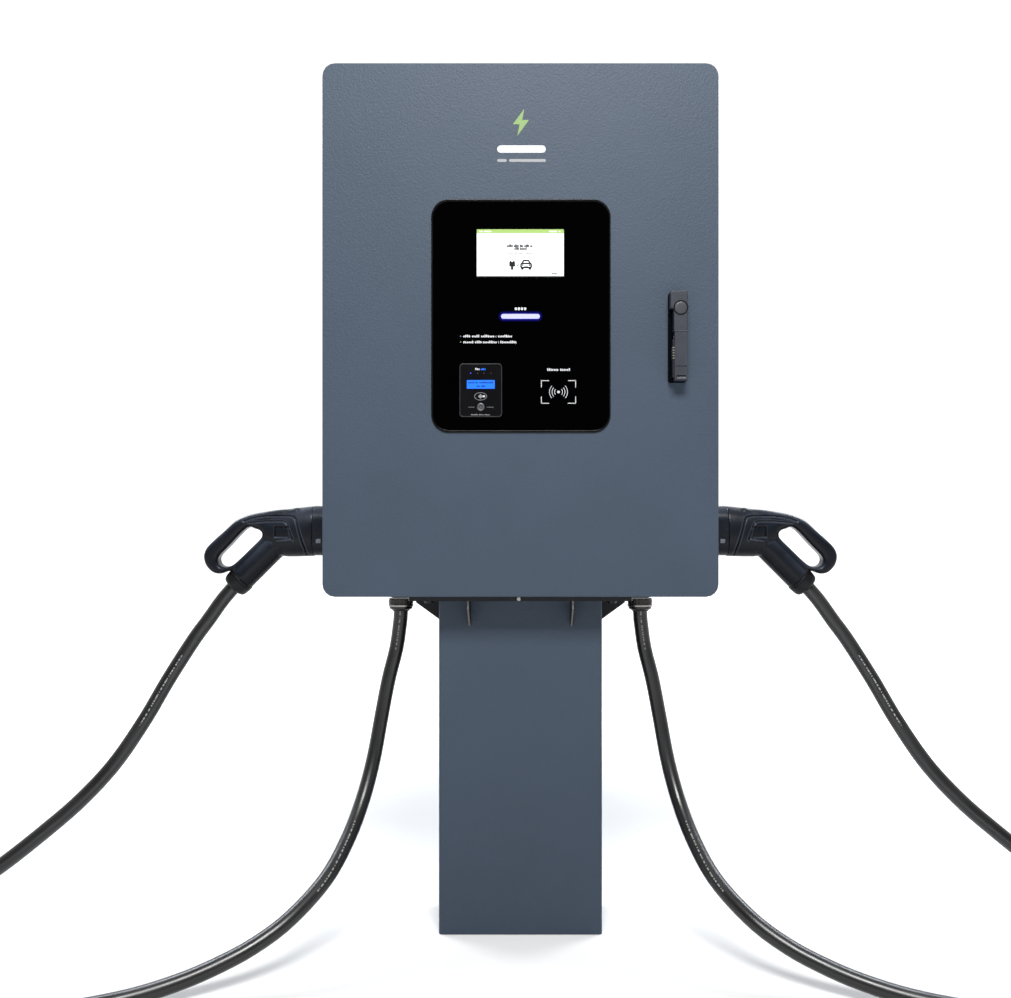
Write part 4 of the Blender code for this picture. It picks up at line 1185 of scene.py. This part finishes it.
def make_handle():
    """A turning head with a round lock button, over a lever that lifts at its foot."""
    # The base is near black: painted shade at the handle's side.
    base = prism_mesh([rounded((0.2738, 1.0755), 0.0312, 0.1570, 0.0040)], "XZ", -0.1603, -0.1503, 0.0012)
    add_handle_piece("base_finish", base, HANDLE_SHADE, "door", 40, "handle_base")
    under = arc(LEVER_PIVOT, 0.0132, 136, 48, 11)
    side_view = [(-0.1795, 1.1530), *under, (-0.1612, under[-1][1]), (-0.1612, 1.1530)]
    head = [
        prism_mesh([side_view], "YZ", HANDLE_X - 0.0117, HANDLE_X + 0.0117, 0.0008),
        prism_mesh([rounded((0.27405, 1.1380), 0.0299, 0.0300, 0.0024)], "XZ", -0.1790, -0.1612, 0.0010),
    ]
    add_handle_piece("head_block", fused(head, 0.0007, 2), HANDLE, "handle_head", 45, "handle_hub")
    ring = [circle((HANDLE_X, KNOB_Z), radius, 48) for radius in (0.0128, 0.0109)]
    add_handle_piece("knob_ring", prism_mesh(ring, "XZ", -0.1801, -0.1780), DEEP, "handle_head", 40)
    profile = [
        (-0.002, 0.0104), (0.0, 0.0108), (0.0007, 0.0106), (0.0012, 0.0098), (0.0014, 0.0080),
        (0.0015, 0.004),
    ]
    knob = lathe_mesh(profile, (HANDLE_X, -0.1797, KNOB_Z), (0, -1, 0), 48)
    add_handle_piece("knob", knob, HANDLE_KNOB, "lock_button_body", 50, "lock_button")
    heel = arc(LEVER_PIVOT, 0.0091, 0, 90, 9)
    foot = [(-0.1795, 1.0000), (-0.1780, 0.9985), (-0.1612, 0.9985)]
    side_view = [*heel, (-0.1787, 1.0831), (-0.1795, 1.0823), *foot]
    lever = prism_mesh([side_view], "YZ", 0.2659, 0.2885, 0.0008)
    add_handle_piece("grip", lever, HANDLE, "lever", 40, "handle_lever")
    # The lever's left flank is darker: painted shade.
    flank = prism_mesh([rounded((0.2647, 1.0370), 0.0034, 0.0662, 0.0010)], "XZ", -0.1770, -0.1650, 0.0004)
    add_handle_piece("flank", flank, HANDLE_FLANK_SHADE, "lever")
    # The ribs are pale: painted highlights on their crests.
    ribs = [rounded((0.2645, 1.0370 + 0.0045 * k), 0.0040, 0.0019, 0.0005) for k in range(5)]
    add_handle_piece("ribs", prism_mesh(ribs, "XZ", -0.1790, -0.1660), EDGE_HIGHLIGHT, "lever")
    for name, centre, width, height, corner, front, back, edge, material, body in HANDLE_TRIM:
        mesh = prism_mesh([rounded(centre, width, height, corner)], "XZ", front, back, edge)
        add_handle_piece(name, mesh, material, body)


# Glands and fixings


def add_bolt(name, place, direction, across, height, material=ZINC, washer=True):
    """A hexagon head with a chamfered crown on a washer, standing on a surface at place."""
    radius = across / 2 / math.cos(math.pi / 6)
    levels = ((0.0, 1.0), (height * 0.82, 1.0), (height, 0.86))
    outlines = [(level, hexagon((0, 0), radius * share)) for level, share in levels]
    meshes = [turned_loft(outlines, place, direction)]
    if washer:
        flat = [(-0.0002, across * 0.98), (height * 0.22, across * 0.98), (height * 0.25, across * 0.95)]
        meshes.append(lathe_mesh(flat, place, direction, 32))
    add_piece(name, joined(meshes), material, "root", 25)


GLAND_NUT = [
    (0, 0.0170), (0.0008, 0.0198), (0.0022, 0.0214), (0.0052, 0.0220), (0.0054, 0.0212), (0.0062, 0.0212),
    (0.0064, 0.0228), (0.0098, 0.0228), (0.0100, 0.0214), (0.0112, 0.0214), (0.0114, 0.0222),
    (0.0186, 0.0224), (0.0200, 0.0230), (0.0210, 0.0222),
]


def make_glands():
    """Hexagon body, knurled cap nut with a bright band, rubber seal, and the cable's tail in the cabinet."""
    up = (0, 0, 1)
    for side, sign in SIDES.items():
        x = sign * 0.226
        z = GLAND_EXIT
        body = [
            prism_mesh([hexagon((x, 0), 0.0268)], "XY", 0.6094, 0.6216, 0.0012),
            prism_mesh([hexagon((x, 0), 0.0250, 0.4)], "XY", 0.6247, 0.6290, 0.0008),
            lathe_mesh([(0, 0.0190), (0.016, 0.0190)], (x, 0, 0.6216), up),
        ]
        teeth = [(0.0229 if k % 3 else 0.0219, 2 * math.pi * k / 72) for k in range(72)]
        grip = [(x + radius * math.cos(turn), radius * math.sin(turn)) for radius, turn in teeth]
        cap = [lathe_mesh(GLAND_NUT, (x, 0, z), up, 60), prism_mesh([grip], "XY", z + 0.0112, z + 0.0186)]
        edge = [(0, 0.0228), (0.0004, 0.0236), (0.0034, 0.0236), (0.0038, 0.0228)]
        metal = (
            ("hex", joined(body), GLAND, f"gland_body_{side}"),
            ("cap", joined(cap), GLAND, f"gland_nut_{side}"),
            ("band", lathe_mesh(edge, (x, 0, z + 0.0062), up, 60), NICKEL, None),
        )
        for name, mesh, material, node in metal:
            add_piece(f"gland_{name}_{side}", mesh, material, "root", 28, node)
        seal = lathe_mesh([(0, 0.0150), (0.0016, 0.0166), (0.006, 0.0172)], (x, 0, z - 0.0026), up)
        add_piece(f"gland_seal_{side}", seal, SEAL, "root")
        tail = [(x, 0, 0.632), (x, 0.001, 0.664), (x, 0.014, 0.692), (x, 0.042, 0.711), (x, 0.075, 0.715)]
        tail = tube_mesh(smooth_route(tail, 0.006), CABLE_RADIUS, CABLE_SIDES)
        add_piece(f"gland_tail_{side}", tail, CABLE, "root", 60)


def make_gusset_edges():
    """A painted highlight: a pale strip along the front gussets' sloping edges."""
    low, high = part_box("gusset_front_right")
    slope = [(high.y - 0.0008, low.z), (low.y - 0.0006, high.z - 0.0140), (low.y - 0.0006, high.z)]
    for side, sign in SIDES.items():
        middle = sign * (low.x + high.x) / 2
        strip = prism_mesh([band(slope, 0.0012)], "YZ", middle - 0.0014, middle + 0.0014)
        add_piece(f"gusset_edge_{side}", strip, EDGE_HIGHLIGHT, "root")


def make_earth_bolt():
    """Small plated bolt in the front edge of the post's top plate, just under the door."""
    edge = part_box("post_top_plate")[0]
    place = (-0.003, edge.y - 0.0001, edge.z + 0.0042)
    add_bolt("earth_bolt", place, (0, -1, 0), 0.0070, 0.0040, NICKEL, washer=False)


def screw_mesh(place, direction, radius):
    """A button head with a round driver socket, standing on a surface at place."""
    tall = radius * 0.55
    profile = [
        (-0.0001, radius), (tall * 0.25, radius), (tall * 0.75, radius * 0.82), (tall, radius * 0.50),
        (tall, radius * 0.42), (tall * 0.35, radius * 0.40),
    ]
    return lathe_mesh(profile, place, direction, 20)


def add_screws(name, places, direction, radius, body="root", material=ZINC):
    heads = [screw_mesh(place, direction, radius) for place in places]
    add_piece(name, joined(heads), material, body, 30)


def grid(across, up):
    """Every pairing of two lists of numbers."""
    return [(a, b) for a in across for b in up]


def make_fixings():
    """Screws and bolts that hold the covers, the holsters, the plates and the cabinet."""
    forward, backward = (0, -1, 0), (0, 1, 0)
    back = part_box("post_rear_cover")[1].y
    places = [(x, back, z) for x, z in grid((-0.123, 0.123), (0.036, 0.307, 0.578))]
    add_screws("post_cover_screws", places, backward, 0.0048)
    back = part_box("rear_vent_cover")[1].y
    places = [(x, back, z) for x, z in grid((-0.217, 0.0, 0.217), (1.3135, 1.4865))]
    add_screws("vent_cover_screws", places, backward, 0.0040)
    for side, sign in SIDES.items():
        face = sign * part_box("holster_right")[1].x
        places = [(face, y, z) for y, z in grid((-0.0395, 0.0395), (0.6775, 0.7895))]
        add_screws(f"holster_screws_{side}", places, (sign, 0, 0), 0.0040, material=BLACK_STEEL)
        places = [(sign * (0.156 + dx), -0.030, z) for dx, z in grid((-0.136, 0.136), (1.150, 1.530))]
        add_screws(f"module_screws_{side}", places, forward, 0.0034, material=BLACK_STEEL)
    corners = grid((-0.1535, 0.1535), (-0.200, 0.200)) + grid((-0.157, 0.157), (-0.070, 0.070))
    places = [(0.001 + dx, -0.1457, 1.1145 + dz) for dx, dz in corners]
    add_screws("display_cover_screws", places, backward, 0.0038, "door")
    places = [(x, 0.1119, z) for x, z in grid((-0.287, 0.0, 0.287), (0.683, 1.117))]
    add_screws("plate_screws", places, forward, 0.0045)
    for index, (x, y) in enumerate(grid((-0.165, 0.165), (-0.095, 0.115))):
        add_bolt(f"cabinet_bolt_{index}", (x, y, 0.6241), (0, 0, 1), 0.016, 0.0070)
        add_bolt(f"cabinet_nut_{index}", (x, y, 0.6136), (0, 0, -1), 0.016, 0.0075, BLACK_STEEL)


# Inside the cabinet and the door


def add_inside(name, mesh, material, angle=32):
    return add_piece(name, mesh, material, "root", angle)


def block(low, high, radius=0.0012):
    """A box with rounded edges, between two corners."""
    centre = ((low[0] + high[0]) / 2, (low[2] + high[2]) / 2)
    outline = rounded(centre, high[0] - low[0], high[2] - low[2], radius, 2)
    return prism_mesh([outline], "XZ", low[1], high[1], radius * 0.5)


def duct_mesh(low, high):
    """Slotted wiring duct: a row of fingers under a snap-on lid, between two corners."""
    width, height = high[0] - low[0], high[2] - low[2]
    fingers = []
    for k in range(int(max(width, height) / 0.010)):
        along = 0.005 + 0.010 * k
        if width > height:
            fingers.append(rounded((low[0] + along, low[2] + height / 2), 0.0062, height - 0.003, 0.0008, 1))
        else:
            fingers.append(rounded((low[0] + width / 2, low[2] + along), width - 0.003, 0.0062, 0.0008, 1))
    comb = prism_mesh(fingers, "XZ", low[1] + 0.004, high[1])
    return joined([comb, block(low, (high[0], low[1] + 0.005, high[2]))])


def make_terminals():
    """Three ducts, and a rail of terminal blocks with their screws."""
    ducts = [
        duct_mesh((-0.297, 0.062, 0.735), (-0.271, 0.1118, 1.115)),
        duct_mesh((-0.268, 0.062, 0.846), (0.040, 0.1118, 0.880)),
        duct_mesh((-0.290, 0.062, 0.692), (0.285, 0.1118, 0.732)),
    ]
    add_inside("wire_ducts", joined(ducts), DUCT)
    add_inside("rail", block((-0.258, 0.1050, 0.772), (0.030, 0.1118, 0.807)), ZINC)
    groups = {"beige": (TERMINAL, []), "blue": (TERMINAL_BLUE, []), "green": (TERMINAL_GREEN, [])}
    screws = []
    for k in range(26):
        x = -0.250 + 0.0104 * k
        kind = "green" if k in (8, 17, 25) else "blue" if k in (3, 7, 16) else "beige"
        groups[kind][1].append(rounded((x, 0.7895), 0.0098, 0.048, 0.0008, 1))
        screws += [circle((x, z), 0.0028, 12) for z in (0.7735, 0.8055)]
    for kind, (material, outlines) in groups.items():
        add_inside(f"terminals_{kind}", prism_mesh(outlines, "XZ", 0.0660, 0.1060, 0.0004), material)
    add_inside("terminal_screws", prism_mesh(screws, "XZ", 0.0654, 0.0664, 0.0002), ZINC)


def make_board():
    """Parts on the control board: chips, relays, plug-in terminals, capacitors and a shield."""
    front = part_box("control_board")[0].y
    # Each chip is (middle across, middle up, width, height)
    chips = [
        (0.125, 0.930, 0.028, 0.028), (0.185, 0.945, 0.020, 0.014), (0.215, 0.880, 0.014, 0.020),
        (0.115, 0.865, 0.016, 0.010), (0.150, 0.865, 0.016, 0.010), (0.092, 0.990, 0.012, 0.016),
    ]
    outlines = [rounded((x, z), w, h, 0.0006, 2) for x, z, w, h in chips]
    dark = [prism_mesh(outlines, "XZ", front - 0.0022, front)]
    relays = [rounded((0.084 + 0.0235 * k, 0.818), 0.019, 0.027, 0.0012, 2) for k in range(5)]
    dark.append(prism_mesh(relays, "XZ", front - 0.0160, front, 0.0006))
    add_inside("board_chips", joined(dark), BLACK)
    pins = []
    for x, z, w, h in chips:
        count = int(w / 0.0025)
        places = [x - w / 2 + w * (k + 0.5) / count for k in range(count)]
        pins += [rounded((place, z), 0.0010, h + 0.0050, 0.0003, 1) for place in places]
    bright = [prism_mesh(pins, "XZ", front - 0.0008, front)]
    bright.append(block((0.196, front - 0.004, 0.968), (0.246, front, 1.006)))
    add_inside("board_pins", joined(bright), ZINC)
    places = [(0.078 + 0.0235 * k, z) for k, z in grid(range(8), (0.7745, 1.0455))]
    plugs = [rounded(place, 0.0210, 0.0150, 0.0010, 2) for place in places]
    plugs = prism_mesh(plugs, "XZ", front - 0.0110, front, 0.0005)
    add_inside("board_plugs", plugs, TERMINAL_GREEN)
    can = [
        (0, 0.0062), (0.0006, 0.0066), (0.0150, 0.0066), (0.0158, 0.0060), (0.0158, 0.0052),
        (0.0154, 0.0048),
    ]
    cans = [lathe_mesh(can, (x, front, z), (0, -1, 0), 28) for x, z in grid((0.218, 0.238), (0.815, 0.838))]
    add_inside("board_capacitors", joined(cans), ALUMINIUM, 30)


def make_switchgear():
    """Screws, poles and labels on the breaker and the contactor."""
    wells, heads = [], []
    for node in ("main_breaker", "contactor"):
        low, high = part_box(node)
        step = (high.x - low.x) / 4
        for k, z in grid(range(4), (low.z + 0.0110, high.z - 0.0110)):
            x = low.x + step * (k + 0.5)
            ring = [circle((x, z), 0.0074, 24), circle((x, z), 0.0060, 24)]
            wells.append(prism_mesh(ring, "XZ", low.y - 0.0012, low.y))
            heads.append(screw_mesh((x, low.y, z), (0, -1, 0), 0.0052))
    add_inside("switchgear_wells", joined(wells), BLACK)
    add_inside("switchgear_screws", joined(heads), ZINC, 30)
    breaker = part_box("main_breaker")[0]
    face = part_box("contactor")[0].y
    places = [(breaker.x + 0.030 * k, z) for k, z in grid((1, 2, 3), (0.914, 1.046))]
    lines = [rounded(place, 0.0012, 0.026, 0.0004, 1) for place in places]
    add_inside("breaker_poles", prism_mesh(lines, "XZ", breaker.y - 0.0008, breaker.y), DEEP)
    add_inside("contactor_cap", block((-0.078, face - 0.0070, 0.953), (-0.012, face, 1.017), 0.0030), BLACK)
    labels = [
        block((-0.252, breaker.y - 0.0003, 1.0195), (-0.222, breaker.y, 1.0285), 0.0006),
        block((-0.068, face - 0.0073, 0.995), (-0.022, face - 0.0069, 1.009), 0.0006),
    ]
    add_inside("switchgear_labels", joined(labels), WHITE_INK)


def make_door_lining():
    """A punched stiffener behind the hinged edge and a tray for papers, both on the door's inner face."""
    centre = (-0.272, 1.090)
    outlines = [rounded(centre, 0.026, 0.820, 0.004)]
    outlines += [circle((centre[0], centre[1] + 0.025 * k), 0.0042, 16) for k in range(-15, 16)]
    add_piece("door_stiffener", prism_mesh(outlines, "XZ", -0.1476, -0.1380), COAT, "door")
    low = (-0.110, -0.1476, 0.700)
    high = (0.110, -0.1200, 0.845)
    walls = [
        block((low[0], high[1] - 0.002, low[2]), (high[0], high[1], high[2] - 0.020)),
        block(low, (high[0], high[1], low[2] + 0.003)),
        block(low, (low[0] + 0.002, high[1], high[2])),
        block((high[0] - 0.002, low[1], low[2]), high),
    ]
    add_piece("paper_tray", joined(walls), DUCT, "door")


def make_fan_hubs():
    for side in SIDES:
        low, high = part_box(f"fan_rotor_{side}")
        centre = ((low.x + high.x) / 2, low.y, (low.z + high.z) / 2)
        depth = high.y - low.y
        profile = [
            (-0.0004, 0.0190), (0.0, 0.0208), (depth - 0.001, 0.0212), (depth, 0.0200),
            (depth + 0.0003, 0.0150),
        ]
        hub = lathe_mesh(profile, centre, (0, 1, 0))
        add_piece(f"fan_hub_{side}", hub, BLACK, f"fan_{side}", 30)


def round_front_edge(line):
    """True for the door pan's outer front edges."""
    first, second = (vertex.co for vertex in line.verts)
    if max(first.y, second.y) > DOOR_LOW.y + 0.0002:
        return False
    return all(abs(p.x) > 0.30 or p.z > 1.50 or p.z < 0.68 for p in (first, second))


# Finishing

SLOT_MATERIALS = {
    "powder_coat": COAT,
    "fascia_glass": GLASS,
    "screen": SCREEN,
    "black_plastic": BLACK,
    "reader_plastic": READER,
    "handle_metal": HANDLE,
    "seal_rubber": SEAL,
    "zinc_steel": ZINC,
    "aluminium": ALUMINIUM,
    "circuit_board": BOARD,
    "orange_plastic": ORANGE,
}
# Nodes under the cabinet that take the darker coat, as painted shade.
SHADED_NODES = ("post_top_plate", "gusset_")
CUSTOM_NODES = (
    "cable_drop", "cable_coil", "cable_rise", "connector", "handle_base", "handle_hub", "handle_lever",
    "lock_button", "gland_", "light_bar", "reader_button", "door_panel",
)


def finish_nodes():
    """Gives every CAD node without a piece of its own a finished copy in its slot's material; the post's top
    plate and gussets get the darker coat instead, as painted shade.
    """
    for part in frame["record"]["subparts"]:
        node = part["node"]
        if node.startswith(SHADED_NODES):
            refine(node, SHADED_COAT)
        elif not node.startswith(CUSTOM_NODES):
            refine(node, SLOT_MATERIALS[part["material_slot"]])


def main():
    make_camera()
    for side, plug in make_plugs().items():
        make_cable(side)
    refine("door_panel", COAT, 0.0019, 4, round_front_edge)
    make_emblem()
    make_screen_print()
    make_fascia_print()
    make_light()
    make_reader_print()
    make_reader_button()
    make_handle()
    make_glands()
    make_gusset_edges()
    make_earth_bolt()
    make_fixings()
    make_terminals()
    make_board()
    make_switchgear()
    make_door_lining()
    make_fan_hubs()
    finish_nodes()
    make_stage()


main()
